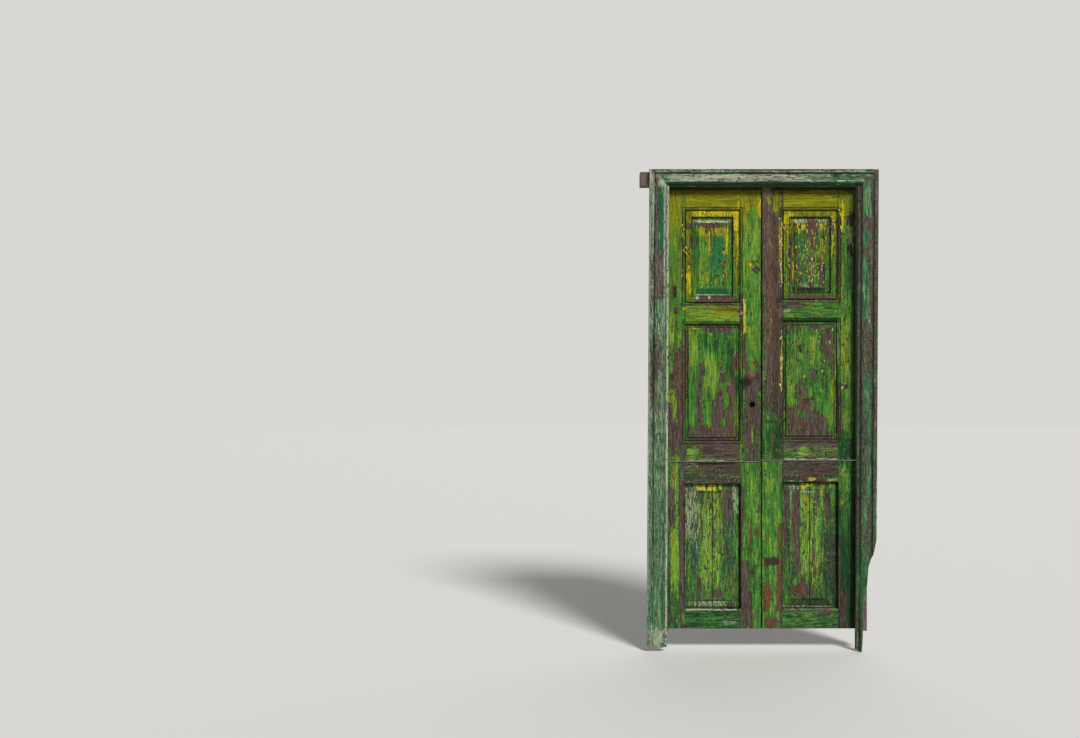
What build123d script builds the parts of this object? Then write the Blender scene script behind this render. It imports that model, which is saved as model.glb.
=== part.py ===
from build123d import *
import os

# An old four-leaf street door: a pair of panelled leaves, each cut across at hip height, in a
# rebated frame with moulded casings.
# X runs to the right seen from the street, Y into the house and Z up, in millimetres.
# The origin is the middle of the doorway at the threshold, in the plane of the wall's face.

# Frame
STOP_HALF = 445.0  # half of the clear width between the stops
REBATE_STEP = 18.0  # how far the rebate wall lies behind the stop
STOP_DEPTH = 22.0
STOP_CLEARANCE = 0.4  # between the stop and a closed leaf
POST_WIDTH = 48.0
HEAD_UNDERSIDE = 2100.0
HEAD_HEIGHT = 66.0
HEAD_REBATE = 13.0
HEAD_HORN = 82.0  # the head runs on past the left post
FRAME_TENON = (16.0, 16.0, 40.0)
FRAME_TENON_FROM_BACK = 12.0

# Leaves
LEAF_THICKNESS = 38.0
HINGE_GAP = 3.0  # between a leaf and its post
MEETING_GAP = 4.0
HEAD_GAP = 3.0
THRESHOLD_GAP = 6.0
SPLIT_GAP = 4.0
SPLIT_LEFT = 795.0
SPLIT_RIGHT = 802.0

# Upper leaf woodwork
UPPER_HINGE_STILE = 100.0
UPPER_LOCK_STILE = 102.0
TOP_RAIL = 122.0
MIDDLE_RAIL = 106.0
BOTTOM_RAIL = 99.0
MIDDLE_RAIL_LEFT = 1499.0  # heights of the middle rails' centre lines
MIDDLE_RAIL_RIGHT = 1514.0
UPPER_LIP = 14.0  # wood in front of the panel groove
UPPER_GROOVE = 14.0
MOULDING_WIDTH = 14.0
MOULDING_DEPTH = 10.0
MOULDING_QUIRK = 2.0

# Lower leaf woodwork
LOWER_HINGE_STILE = 97.0
LOWER_LOCK_STILE = 97.0
LOWER_TOP_RAIL = 103.0
LOWER_BOTTOM_RAIL = 96.0
LOWER_LIP = 18.0
LOWER_GROOVE = 10.0

# Joinery
GROOVE_DEPTH = 10.0
PANEL_CLEARANCE = 0.3
PANEL_SHRINKAGE = 1.0  # at the bottom of a groove
TENON_THICKNESS = 12.0
TENON_LENGTH = 60.0
TENON_SHOULDER = 16.0
TENON_SETBACK = 13.0
TENON_CLEARANCE = 0.3
MORTISE_SPARE = 1.0  # past the tenon's end

# Panels
TRIM_WIDTH = 28.0
TRIM_THICKNESS = 8.0
TRIM_GAP = 2.0
SMALL_MARGIN = 11.0
SMALL_BEVEL = 22.0
SMALL_RAISE = 6.5
LARGE_MARGIN = 12.0
LARGE_BEVEL = 5.0
LARGE_RAISE = 5.0
LOWER_BEVEL = 35.0
LOWER_RAISE = 7.5
BOARD_GAP = 0.6  # the opened joint between the two boards of a lower panel

# Worn lower edge of the lower right top rail: share of its length from the lock stile, and loss
WORN_EDGE = (
    (0.0, 1.0),
    (0.14, 4.0),
    (0.33, 1.5),
    (0.5, 6.5),
    (0.62, 5.5),
    (0.8, 1.0),
    (0.92, 4.5),
    (1.0, 2.0),
)
WORN_DEPTH = 12.0  # how far the wear goes into the rail's front lip

# Casings
CASING_THICKNESS = 28.0
HEAD_CASING_WIDTH = 80.0
CASING_COVER_HEAD = 5.0  # how far the head casing hangs below the frame head
CASING_COVER_LEFT = 4.0  # how far the left casing stands past its stop, at the top
CASING_COVER_RIGHT = -3.0  # the right casing leaves a little of its stop bare
CASING_LEAN = 0.0057  # the side casings drift to the left on their way down
CASING_FOOT_LEFT = -75.0
CASING_FOOT_RIGHT = -94.0

# Profile of a side casing from its outer edge: widths, and depths below its front
CASING_FILLET = 18.0
CASING_GROOVE = (10.0, 5.0)
CASING_GROOVE_SLOPE = 2.0
CASING_FLAT = (40.0, 1.0)
CASING_BEAD = (7.0, 3.0)
CASING_COVE = (15.0, 15.0)
CASING_COVE_TURN = (5.0, 12.0)  # the deepest part of the cove's curve
CASING_LIP = (3.0, 16.0)
CASING_ARRIS = 1.0

# What the casings' feet have lost to fraying and rot
FRAY = 7.0
FRAY_SHARES = (1.0, 0.3, 0.8, 0.2, 0.5, 0.0)  # of FRAY, across the left foot from its outer edge
ROT_EDGE = (  # distance from the right casing's outer edge, and height above its foot
    (-20.0, 560.0),
    (4.0, 500.0),
    (11.0, 465.0),
    (32.0, 412.0),
    (40.0, 338.0),
    (56.0, 225.0),
    (62.0, 80.0),
    (68.0, -5.0),
)
ROT_TOE = (27.0, 11.0)

# Cover strip on the right leaf's meeting edge
STRIP_WIDTH = 48.0
STRIP_THICKNESS = 8.0
STRIP_TOP_GAP = 4.0  # below the frame head
STRIP_FOOT_GAP = 2.0  # above the leaf's lower end
STRIP_CHAMFER = 1.5

# Hinges
HINGE_FROM_END = 150.0  # from a leaf's end to the middle of the hinge beside it
HINGE_LENGTH = 90.0
HINGE_PLATE = 1.5
HINGE_PLATE_WIDTH = 26.0
HINGE_POCKET_CLEARANCE = 0.3
KNUCKLE_RADIUS = 4.2
KNUCKLE_STANDOFF = 4.5  # from the back of the leaf to the pin's axis
KNUCKLE_GAP = 0.4
PIN_RADIUS = 2.0
PIN_CLEARANCE = 0.1
PIN_HEAD_RADIUS = 3.6
PIN_HEAD_HEIGHT = 3.0

# Pull knob, keyhole and the shallow recess above them, on the left lock stile
KNOB_X = -57.0
KNOB_Z = 1207.0
KNOB_RADIUS = 26.0
KNOB_REACH = 44.0
KNOB_RIM = 30.0  # from the leaf's face to the widest part of the head
KNOB_NECK = 9.0
KNOB_NECK_FLARE = 3.0
KNOB_ROSE = (17.0, 3.0)
KNOB_SPINDLE = 4.0
KNOB_HOLE_CLEARANCE = 0.3
KNOB_NUT_SIDE = 18.0
KNOB_NUT_THICKNESS = 7.0
KNOB_THREAD_END = 2.0  # the spindle stands out of its nut
KEYHOLE_X = -44.0
KEYHOLE_Z = 1068.0
KEYHOLE_RADIUS = 15.0
KEYHOLE_SIDES = 9  # chipped round its rim
RECESS_X = -26.0
RECESS_Z = 1705.0
RECESS_SIDE = 27.0
RECESS_DEPTH = 5.0

# Rim lock and its keeper
LOCK_CASE = (78.0, 22.0, 92.0)
LOCK_EDGE_GAP = 2.5  # from the leaf's edge to the case and to the keeper
LOCK_CASE_LIFT = 4.0  # the case sits this much above the keyhole's centre
KEY_RADIUS = 4.0
KEY_SLOT = (4.0, 16.0)
KEY_DEPTH = 12.0
LOCK_BOLT = (56.0, 10.0, 20.0)
LOCK_BOLT_LIFT = 26.0  # from the keyhole's centre to the bolt's
LOCK_BOLT_CLEARANCE = 0.4
LOCK_TRAVEL = 18.0
KEEPER = (30.0, 22.0, 52.0)
KEEPER_WALL = 4.0

# Sliding bolts on the inner faces
BOLT_X = 52.0
BOLT_PLATE = (36.0, 2.5)
BOLT_ROD_RADIUS = 5.0
BOLT_ROD_STANDOFF = 10.0  # from the leaf to the rod's axis
BOLT_CLEARANCE = 0.4
BOLT_GUIDE = (22.0, 14.0)
BOLT_GUIDE_COVER = 3.0  # metal around the rod
BOLT_PLATE_LENGTH = 140.0
BOLT_GUIDE_INSET = 12.0
BOLT_HANDLE_RADIUS = 3.5
BOLT_HANDLE_REACH = 16.0
BOLT_BUTTON_RADIUS = 7.0
BOLT_BUTTON_HEIGHT = 5.0
BOLT_BUTTON_GAP = 1.0  # from a drawn bolt's button to the guide beside it
STAPLE_PLATE_LENGTH = 44.0
STAPLE_LOOSENESS = 2.5
KEEPER_INSET = 2.0  # from the frame head's top to the top bolt's keeper
TOP_BOLT_TRAVEL = 40.0
TOP_BOLT_REST = 18.0  # rod end below the leaf's top edge
LINK_BOLT_TRAVEL = 60.0
LINK_BOLT_REST = 12.0  # rod end above the split
FOOT_BOLT_TRAVEL = 40.0
FOOT_BOLT_REST = 6.0  # rod end above the leaf's bottom edge

# Worked out from the sizes above
FACE = STOP_DEPTH + STOP_CLEARANCE
BACK = FACE + LEAF_THICKNESS
FRAME_DEPTH = BACK
REBATE_HALF = STOP_HALF + REBATE_STEP
POST_OUTER = STOP_HALF + POST_WIDTH
HEAD_TOP = HEAD_UNDERSIDE + HEAD_HEIGHT
LEAF_OUTER = REBATE_HALF - HINGE_GAP
LEAF_INNER = MEETING_GAP / 2
LEAF_TOP = HEAD_UNDERSIDE + HEAD_REBATE - HEAD_GAP
CASING_MOULDED = CASING_GROOVE[0] + CASING_FLAT[0] + CASING_BEAD[0] + CASING_COVE[0] + CASING_LIP[0]
CASING_WIDTH = CASING_FILLET + CASING_MOULDED
CASING_TOP = HEAD_UNDERSIDE - CASING_COVER_HEAD + HEAD_CASING_WIDTH
HINGE_HEIGHTS_UPPER = (LEAF_TOP - HINGE_FROM_END, SPLIT_RIGHT + HINGE_FROM_END)
HINGE_HEIGHTS_LOWER = (SPLIT_LEFT - HINGE_FROM_END, THRESHOLD_GAP + HINGE_FROM_END)
PIN_X = REBATE_HALF - HINGE_GAP / 2
PIN_Y = BACK + KNUCKLE_STANDOFF
BOLT_ROD_Y = BACK + BOLT_ROD_STANDOFF

OVERCUT = 1.0  # how far a cutter runs on past the wood
LEFT, RIGHT = -1, 1
SPLIT = {LEFT: SPLIT_LEFT, RIGHT: SPLIT_RIGHT}
MIDDLE_RAIL_Z = {LEFT: MIDDLE_RAIL_LEFT, RIGHT: MIDDLE_RAIL_RIGHT}
SIDE_NAME = {LEFT: "left", RIGHT: "right"}

os.makedirs("parts", exist_ok=True)


def save(piece, name):
    """Name a finished piece and write it out."""
    piece.part.label = name
    export_step(piece.part, f"parts/{name}.step")


def block(xs, ys, zs, mode=Mode.ADD):
    """A rectangular block between two values of x, y and z, in the piece being built."""
    middle = ((xs[0] + xs[1]) / 2, (ys[0] + ys[1]) / 2, (zs[0] + zs[1]) / 2)
    with Locations(middle):
        Box(abs(xs[1] - xs[0]), abs(ys[1] - ys[0]), abs(zs[1] - zs[0]), mode=mode)


def across(side, near, far):
    """Two x values on one side of the doorway, from distances to its middle."""
    return side * near, side * far


# Frame: two posts tenoned into a head


def frame_tenon_x(side):
    """The middle of a post's tenon, between its rebate wall and its outer face."""
    return side * (REBATE_HALF + POST_OUTER) / 2


def frame_tenon_y():
    """The middle of a post's tenon, from front to back."""
    return FRAME_DEPTH - FRAME_TENON_FROM_BACK - FRAME_TENON[1] / 2


def hinge_seats(side, near, far, heights):
    """Cut the seats of hinge plates into the wood being built, between two distances from the middle."""
    for height in heights:
        reach = HINGE_LENGTH / 2 + HINGE_POCKET_CLEARANCE
        block(
            across(side, near, far),
            (BACK - HINGE_PLATE_WIDTH - HINGE_POCKET_CLEARANCE, BACK + OVERCUT),
            (height - reach, height + reach),
            mode=Mode.SUBTRACT,
        )


def build_post(side):
    """A post with its rebate, its tenon and the seats of its four hinges."""
    with BuildPart() as post:
        with BuildSketch():
            with BuildLine():
                Polyline(
                    (side * STOP_HALF, 0),
                    (side * POST_OUTER, 0),
                    (side * POST_OUTER, FRAME_DEPTH),
                    (side * REBATE_HALF, FRAME_DEPTH),
                    (side * REBATE_HALF, STOP_DEPTH),
                    (side * STOP_HALF, STOP_DEPTH),
                    close=True,
                )
            make_face()
        extrude(amount=HEAD_UNDERSIDE)
        with BuildSketch(Plane.XY.offset(HEAD_UNDERSIDE)):
            with Locations((frame_tenon_x(side), frame_tenon_y())):
                Rectangle(FRAME_TENON[0], FRAME_TENON[1])
        extrude(amount=FRAME_TENON[2])
        heights = HINGE_HEIGHTS_UPPER + HINGE_HEIGHTS_LOWER
        hinge_seats(side, REBATE_HALF - OVERCUT, REBATE_HALF + HINGE_PLATE, heights)
    save(post, f"post_{SIDE_NAME[side]}")


def build_frame_head():
    """The head over both posts, with its rebate, its mortises and the horn on the left."""
    head_plane = Plane.YZ.offset(-POST_OUTER - HEAD_HORN)
    with BuildPart() as head:
        with BuildSketch(head_plane):
            with Locations((FRAME_DEPTH / 2, HEAD_UNDERSIDE + HEAD_HEIGHT / 2)):
                Rectangle(FRAME_DEPTH, HEAD_HEIGHT)
        extrude(amount=2 * POST_OUTER + HEAD_HORN)
        block(
            (-REBATE_HALF, REBATE_HALF),
            (STOP_DEPTH, FRAME_DEPTH + OVERCUT),
            (HEAD_UNDERSIDE - OVERCUT, HEAD_UNDERSIDE + HEAD_REBATE),
            mode=Mode.SUBTRACT,
        )
        with BuildSketch(Plane.XY.offset(HEAD_UNDERSIDE)):
            for side in (LEFT, RIGHT):
                with Locations((frame_tenon_x(side), frame_tenon_y())):
                    Rectangle(FRAME_TENON[0] + 2 * TENON_CLEARANCE, FRAME_TENON[1] + 2 * TENON_CLEARANCE)
        extrude(amount=FRAME_TENON[2] + OVERCUT, mode=Mode.SUBTRACT)
    save(head, "frame_head")


# Casings: three moulded boards, mitred at the top corners


def casing_section(plane, width, place):
    """The section of a casing board.

    place turns a distance from the outer edge and a distance from the wall into a point.
    From the outer edge in: a raised fillet, a groove, a flat, a bead and a cove.
    """
    scale = width / CASING_WIDTH
    front = CASING_THICKNESS
    fillet = CASING_FILLET * scale
    groove = fillet + CASING_GROOVE[0] * scale
    flat = groove + CASING_FLAT[0] * scale
    bead = flat + CASING_BEAD[0] * scale
    cove = bead + CASING_COVE[0] * scale
    turn = bead + CASING_COVE_TURN[0] * scale
    groove_floor = front - CASING_GROOVE[1]
    flat_front = front - CASING_FLAT[1]
    bead_foot = front - CASING_BEAD[1]
    cove_foot = front - CASING_COVE[1]
    lip_front = front - CASING_LIP[1]
    with BuildSketch(plane) as section:
        with BuildLine():
            Polyline(
                place(0, 0),
                place(0, front - CASING_ARRIS),
                place(CASING_ARRIS, front),
                place(fillet, front),
                place(fillet + CASING_GROOVE_SLOPE, groove_floor),
                place(groove - CASING_GROOVE_SLOPE, groove_floor),
                place(groove, flat_front),
                place(flat, flat_front),
                place(flat, bead_foot),
            )
            ThreePointArc(place(flat, bead_foot), place((flat + bead) / 2, front), place(bead, bead_foot))
            ThreePointArc(
                place(bead, bead_foot), place(turn, front - CASING_COVE_TURN[1]), place(cove, cove_foot)
            )
            Polyline(place(cove, cove_foot), place(width, lip_front), place(width, 0), place(0, 0))
        make_face()
    return section.sketch


def casing_edges(side):
    """The outer and inner edge of a side casing at its top, as x values."""
    inner = STOP_HALF - (CASING_COVER_LEFT if side == LEFT else CASING_COVER_RIGHT)
    return side * (inner + CASING_WIDTH), side * inner


def mitre_plane(side):
    """The plane of a mitre, from a side casing's outer corner down to its inner edge.

    Its normal points up and towards the middle of the doorway, where the head casing lies.
    """
    outer, inner = casing_edges(side)
    along = Vector(inner - outer, 0, -HEAD_CASING_WIDTH)
    normal = Vector(-side * HEAD_CASING_WIDTH, 0, CASING_WIDTH)
    return Plane(origin=(outer, 0, CASING_TOP), x_dir=along, z_dir=normal)


def build_side_casing(side):
    """A leaning moulded board beside the doorway, mitred at its top and worn at its foot."""
    outer = casing_edges(side)[0]
    foot = CASING_FOOT_LEFT if side == LEFT else CASING_FOOT_RIGHT
    height = CASING_TOP - foot
    foot_outer = outer - CASING_LEAN * height
    section = casing_section(
        Plane.XY.offset(foot),
        CASING_WIDTH,
        lambda across_board, out: (foot_outer - side * across_board, -out),
    )
    lost = frayed_foot(foot_outer, foot) if side == LEFT else rotten_foot(foot_outer, foot)

    with BuildPart() as casing:
        extrude(section, amount=height, dir=(CASING_LEAN, 0, 1))
        split(bisect_by=mitre_plane(side), keep=Keep.BOTTOM)
        extrude(lost, amount=CASING_THICKNESS + OVERCUT, mode=Mode.SUBTRACT)
    save(casing, f"casing_{SIDE_NAME[side]}")


def frayed_foot(outer, foot):
    """What is missing from the sawn foot of the left casing, which is ragged."""
    step = CASING_WIDTH / (len(FRAY_SHARES) - 1)
    ragged = [(outer + index * step, foot + FRAY * share) for index, share in enumerate(FRAY_SHARES)]
    far = outer + CASING_WIDTH + OVERCUT
    with BuildSketch(Plane.XZ) as lost:
        with BuildLine():
            Polyline(
                (outer - OVERCUT, foot - OVERCUT),
                (outer - OVERCUT, foot + FRAY),
                *ragged,
                (far, foot),
                (far, foot - OVERCUT),
                close=True,
            )
        make_face()
    return lost.sketch


def rotten_foot(outer, foot):
    """What the right casing has lost to rot: its outer edge, down to a splinter, and its toe."""
    edge = [(outer - inset, foot + height) for inset, height in ROT_EDGE]
    beyond = outer + CASING_THICKNESS
    inner = outer - CASING_WIDTH - OVERCUT
    with BuildSketch(Plane.XZ) as lost:
        with BuildLine():
            Spline(*edge)
            Polyline(edge[-1], (beyond, edge[-1][1]), (beyond, edge[0][1]), edge[0])
        make_face()
        with BuildLine():
            Polyline(
                (inner, foot - OVERCUT),
                (inner, foot + ROT_TOE[1]),
                (outer - CASING_WIDTH + ROT_TOE[0], foot - OVERCUT),
                close=True,
            )
        make_face()
    return lost.sketch


def build_head_casing():
    """The narrower moulded board over the doorway, mitred at both ends."""
    left_outer = casing_edges(LEFT)[0]
    right_outer = casing_edges(RIGHT)[0]
    section = casing_section(
        Plane.YZ.offset(left_outer),
        HEAD_CASING_WIDTH,
        lambda across_board, out: (-out, CASING_TOP - across_board),
    )
    with BuildPart() as casing:
        extrude(section, amount=right_outer - left_outer)
        split(bisect_by=mitre_plane(LEFT), keep=Keep.TOP)
        split(bisect_by=mitre_plane(RIGHT), keep=Keep.TOP)
    save(casing, "casing_head")


# Joinery of a leaf


class Opening:
    """A panel's opening in a leaf, between the sight lines of its stiles and rails."""

    def __init__(self, side, near, far, bottom, top, lip, groove):
        self.left = min(side * near, side * far)
        self.right = max(side * near, side * far)
        self.bottom = bottom
        self.top = top
        self.groove_front = FACE + lip
        self.groove_back = FACE + lip + groove
        self.cutter = None

    def grown(self, amount):
        """The opening's four limits, moved outward."""
        xs = (self.left - amount, self.right + amount)
        zs = (self.bottom - amount, self.top + amount)
        return xs, zs

    def make_cutter(self, moulded):
        """The room that the panel's groove, and the moulding if there is one, take out of the wood."""
        xs, zs = self.grown(GROOVE_DEPTH)
        with BuildPart() as groove:
            block(xs, (self.groove_front, self.groove_back), zs)
        self.cutter = groove.part
        if moulded:
            self.cutter += self.moulding_cutter()

    def moulding_cutter(self):
        """Sweep the ogee's waste round the opening, which mitres its corners."""
        middle = (self.left + self.right) / 2
        before = FACE - OVERCUT
        depth = FACE + MOULDING_DEPTH
        quirk = FACE + MOULDING_QUIRK
        outer = self.bottom - MOULDING_WIDTH
        quirk_line = outer + MOULDING_QUIRK
        turn_z = (quirk_line + self.bottom) / 2
        turn_y = (quirk + depth) / 2
        ease = MOULDING_WIDTH / 12
        with BuildPart() as waste:
            with BuildLine(Plane.XZ):
                Polyline(
                    (middle, self.bottom),
                    (self.right, self.bottom),
                    (self.right, self.top),
                    (self.left, self.top),
                    (self.left, self.bottom),
                    (middle, self.bottom),
                )
            with BuildSketch(Plane.YZ.offset(middle)):
                with BuildLine():
                    Polyline((before, outer), (quirk, outer), (quirk, quirk_line))
                    ThreePointArc(
                        (quirk, quirk_line),
                        ((quirk + turn_y) / 2 - ease, (quirk_line + turn_z) / 2 + ease),
                        (turn_y, turn_z),
                    )
                    ThreePointArc(
                        (turn_y, turn_z),
                        ((depth + turn_y) / 2 + ease, (self.bottom + turn_z) / 2 - ease),
                        (depth, self.bottom),
                    )
                    Polyline((depth, self.bottom), (before, self.bottom), (before, outer))
                make_face()
            sweep(transition=Transition.RIGHT)
        return waste.part


def tenon_height(rail):
    """The bottom and top of the tenons of a rail, given as its bottom and top."""
    return rail[0] + TENON_SHOULDER, rail[1] - TENON_SHOULDER


def mortises(side, edge, away, rails):
    """Cut a mortise for each rail into the stile being built.

    edge is the stile's inner edge, as a distance from the doorway's middle, and away is +1
    where the wood lies further out than that edge.
    """
    reach = TENON_LENGTH + MORTISE_SPARE
    front = FACE + TENON_SETBACK
    for rail in rails:
        bottom, top = tenon_height(rail)
        block(
            across(side, edge - away * OVERCUT, edge + away * reach),
            (front - TENON_CLEARANCE, front + TENON_THICKNESS + TENON_CLEARANCE),
            (bottom - TENON_CLEARANCE, top + TENON_CLEARANCE),
            mode=Mode.SUBTRACT,
        )


def build_rail(name, side, near, far, rail, openings, worn=None):
    """A rail between two stiles, with a tenon at each end."""
    with BuildPart() as piece:
        block(across(side, near, far), (FACE, BACK), rail)
        block(
            across(side, near - TENON_LENGTH, far + TENON_LENGTH),
            (FACE + TENON_SETBACK, FACE + TENON_SETBACK + TENON_THICKNESS),
            tenon_height(rail),
        )
        for opening in openings:
            add(rail_waste(opening, side, near, far), mode=Mode.SUBTRACT)
        if worn is not None:
            extrude(worn, amount=-WORN_DEPTH, mode=Mode.SUBTRACT)
    save(piece, name)


def worn_edge(near, far, bottom):
    """What the front lip of a rail's lower edge has lost to wear, between its two stiles."""
    edge = [(near + share * (far - near), bottom + loss) for share, loss in WORN_EDGE]
    with BuildSketch(Plane.XZ.offset(-FACE)) as lost:
        with BuildLine():
            Spline(*edge)
            Polyline(edge[-1], (far, bottom - OVERCUT), (near, bottom - OVERCUT), edge[0])
        make_face()
    return lost.sketch


def rail_waste(opening, side, near, far):
    """The part of an opening's cutter that lies between the stiles."""
    xs, zs = opening.grown(GROOVE_DEPTH + MOULDING_WIDTH)
    with BuildPart() as waste:
        block(across(side, near, far), (FACE - 2 * OVERCUT, BACK), zs)
        add(opening.cutter, mode=Mode.INTERSECT)
    return waste.part


def build_hinge_stile(name, side, inner, zs, rails, openings, hinge_heights):
    """The stile that carries a leaf's hinges, with its mortises and grooves."""
    with BuildPart() as stile:
        block(across(side, inner, LEAF_OUTER), (FACE, BACK), zs)
        mortises(side, inner, 1, rails)
        for opening in openings:
            add(opening.cutter, mode=Mode.SUBTRACT)
        hinge_seats(side, LEAF_OUTER - HINGE_PLATE, LEAF_OUTER + OVERCUT, hinge_heights)
    save(stile, name)


def build_panel_board(name, opening, field):
    """A panel board with its raised field, let into the groove all round."""
    xs, zs = opening.grown(GROOVE_DEPTH - PANEL_SHRINKAGE)
    with BuildPart() as panel:
        block(
            xs,
            (opening.groove_front + PANEL_CLEARANCE, opening.groove_back - PANEL_CLEARANCE),
            zs,
        )
        add(field)
    save(panel, name)


def raised_field(opening, margin, bevel, height):
    """The raised field of a panel: a bevel on all four sides, up to a flat."""
    foot = opening.groove_front + PANEL_CLEARANCE
    middle_x = (opening.left + opening.right) / 2
    middle_z = (opening.bottom + opening.top) / 2
    width = opening.right - opening.left - 2 * margin
    tall = opening.top - opening.bottom - 2 * margin
    with BuildPart() as field:
        with BuildSketch(Plane.XZ.offset(-foot)):
            with Locations((middle_x, middle_z)):
                Rectangle(width, tall)
        with BuildSketch(Plane.XZ.offset(height - foot)):
            with Locations((middle_x, middle_z)):
                Rectangle(width - 2 * bevel, tall - 2 * bevel)
        loft(ruled=True)
    return field.part


def build_trim(name, opening):
    """Four mitred strips that lie on the margin of a small panel."""
    seat = opening.groove_front + PANEL_CLEARANCE
    middle = Vector((opening.left + opening.right) / 2, 0, (opening.bottom + opening.top) / 2)
    half_width = (opening.right - opening.left) / 2 - TRIM_GAP
    half_height = (opening.top - opening.bottom) / 2 - TRIM_GAP
    with BuildPart() as trim:
        for sign in (-1, 1):
            upright = [
                (sign * half_width, -half_height),
                (sign * half_width, half_height),
                (sign * (half_width - TRIM_WIDTH), half_height - TRIM_WIDTH),
                (sign * (half_width - TRIM_WIDTH), TRIM_WIDTH - half_height),
            ]
            level = [
                (-half_width, sign * half_height),
                (half_width, sign * half_height),
                (half_width - TRIM_WIDTH, sign * (half_height - TRIM_WIDTH)),
                (TRIM_WIDTH - half_width, sign * (half_height - TRIM_WIDTH)),
            ]
            for outline in (upright, level):
                with BuildSketch(Plane.XZ.offset(-seat)):
                    with BuildLine():
                        Polyline(*[(middle.X + x, middle.Z + z) for x, z in outline], close=True)
                    make_face()
                extrude(amount=TRIM_THICKNESS)
    save(trim, name)


# Ironwork


def knuckle_spans(height):
    """The three knuckles of a hinge, from the bottom: post, leaf, post."""
    third = HINGE_LENGTH / 3
    bottom = height - HINGE_LENGTH / 2
    half_gap = KNUCKLE_GAP / 2
    return (
        (bottom, bottom + third - half_gap),
        (bottom + third + half_gap, bottom + 2 * third - half_gap),
        (bottom + 2 * third + half_gap, bottom + HINGE_LENGTH),
    )


def build_hinge_plates(name, side, seat, heights, kept):
    """Hinge plates let into the wood at x = seat, with their share of the knuckles.

    seat is the wood's edge and the side the plate lies on: its near and far face, as
    distances from the doorway's middle. kept picks the knuckles that this plate carries.
    """
    with BuildPart() as plates:
        for height in heights:
            spans = [knuckle_spans(height)[index] for index in kept]
            reach = HINGE_LENGTH / 2
            block(
                across(side, *seat),
                (BACK - HINGE_PLATE_WIDTH, BACK),
                (height - reach, height + reach),
            )
            for bottom, top in spans:
                with BuildSketch(Plane.XY.offset(bottom)):
                    with Locations((side * PIN_X, PIN_Y)):
                        Circle(KNUCKLE_RADIUS)
                    with Locations((side * (seat[0] + seat[1]) / 2, (BACK + PIN_Y) / 2)):
                        Rectangle(HINGE_PLATE, PIN_Y - BACK)
                    with Locations((side * PIN_X, PIN_Y)):
                        Circle(PIN_RADIUS + PIN_CLEARANCE, mode=Mode.SUBTRACT)
                extrude(amount=top - bottom)
    save(plates, name)


def build_hinge_pins(side):
    """The four headed pins that stand in the knuckles of one post's hinges."""
    with BuildPart() as pins:
        for height in HINGE_HEIGHTS_UPPER + HINGE_HEIGHTS_LOWER:
            foot = height - HINGE_LENGTH / 2
            with BuildSketch(Plane.XY.offset(foot)):
                with Locations((side * PIN_X, PIN_Y)):
                    Circle(PIN_RADIUS)
            extrude(amount=HINGE_LENGTH)
            with BuildSketch(Plane.XY.offset(foot + HINGE_LENGTH)):
                with Locations((side * PIN_X, PIN_Y)):
                    Circle(PIN_HEAD_RADIUS)
            extrude(amount=PIN_HEAD_HEIGHT)
    save(pins, f"hinge_pins_{SIDE_NAME[side]}")


def guide(x, z, hole, tall):
    """A block that bridges a rod, with its hole, in the piece being built.

    hole is the hole's half size, and the guide's front stands BOLT_GUIDE_COVER beyond it.
    """
    block(
        (x - BOLT_GUIDE[0] / 2, x + BOLT_GUIDE[0] / 2),
        (BACK + BOLT_PLATE[1], BOLT_ROD_Y + hole + BOLT_GUIDE_COVER),
        (z - tall / 2, z + tall / 2),
    )


def bore(x, z, hole, tall):
    """The round hole of a rod, in the piece being built."""
    with Locations((x, BOLT_ROD_Y, z)):
        Cylinder(hole, tall + 2 * OVERCUT, mode=Mode.SUBTRACT)


def bolt_guides(bottom):
    """The heights of the two guides on a bolt's plate, from the height of its lower end."""
    inset = BOLT_GUIDE_INSET + BOLT_GUIDE[1] / 2
    return bottom + inset, bottom + BOLT_PLATE_LENGTH - inset


def build_bolt_base(name, x, bottom):
    """A plate with two guides, which carries a sliding rod."""
    hole = BOLT_ROD_RADIUS + BOLT_CLEARANCE
    guides = bolt_guides(bottom)
    with BuildPart() as base:
        block(
            (x - BOLT_PLATE[0] / 2, x + BOLT_PLATE[0] / 2),
            (BACK, BACK + BOLT_PLATE[1]),
            (bottom, bottom + BOLT_PLATE_LENGTH),
        )
        for z in guides:
            guide(x, z, hole, BOLT_GUIDE[1])
        for z in guides:
            bore(x, z, hole, BOLT_GUIDE[1])
    save(base, name)


def build_bolt_rod(name, x, bottom, end, throw, travel):
    """A drawn rod in the guides of a plate, with a handle that stands off it.

    bottom is the lower end of the plate, end the rod's working end and throw its way there,
    +1 for up.
    """
    handle_room = BOLT_GUIDE[1] / 2 + BOLT_BUTTON_RADIUS + BOLT_BUTTON_GAP
    lower_guide, upper_guide = bolt_guides(bottom)
    handle = lower_guide + handle_room if throw > 0 else upper_guide - handle_room
    far_end = end - throw * (BOLT_PLATE_LENGTH + travel)
    with BuildPart() as rod:
        with BuildSketch(Plane.XY.offset(min(end, far_end))):
            with Locations((x, BOLT_ROD_Y)):
                Circle(BOLT_ROD_RADIUS)
        extrude(amount=abs(far_end - end))
        with BuildSketch(Plane.XZ.offset(-BOLT_ROD_Y)):
            with Locations((x, handle)):
                Circle(BOLT_HANDLE_RADIUS)
        extrude(amount=-BOLT_HANDLE_REACH)
        with BuildSketch(Plane.XZ.offset(-BOLT_ROD_Y - BOLT_HANDLE_REACH)):
            with Locations((x, handle)):
                Circle(BOLT_BUTTON_RADIUS)
        extrude(amount=-BOLT_BUTTON_HEIGHT)
    save(rod, name)


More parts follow.
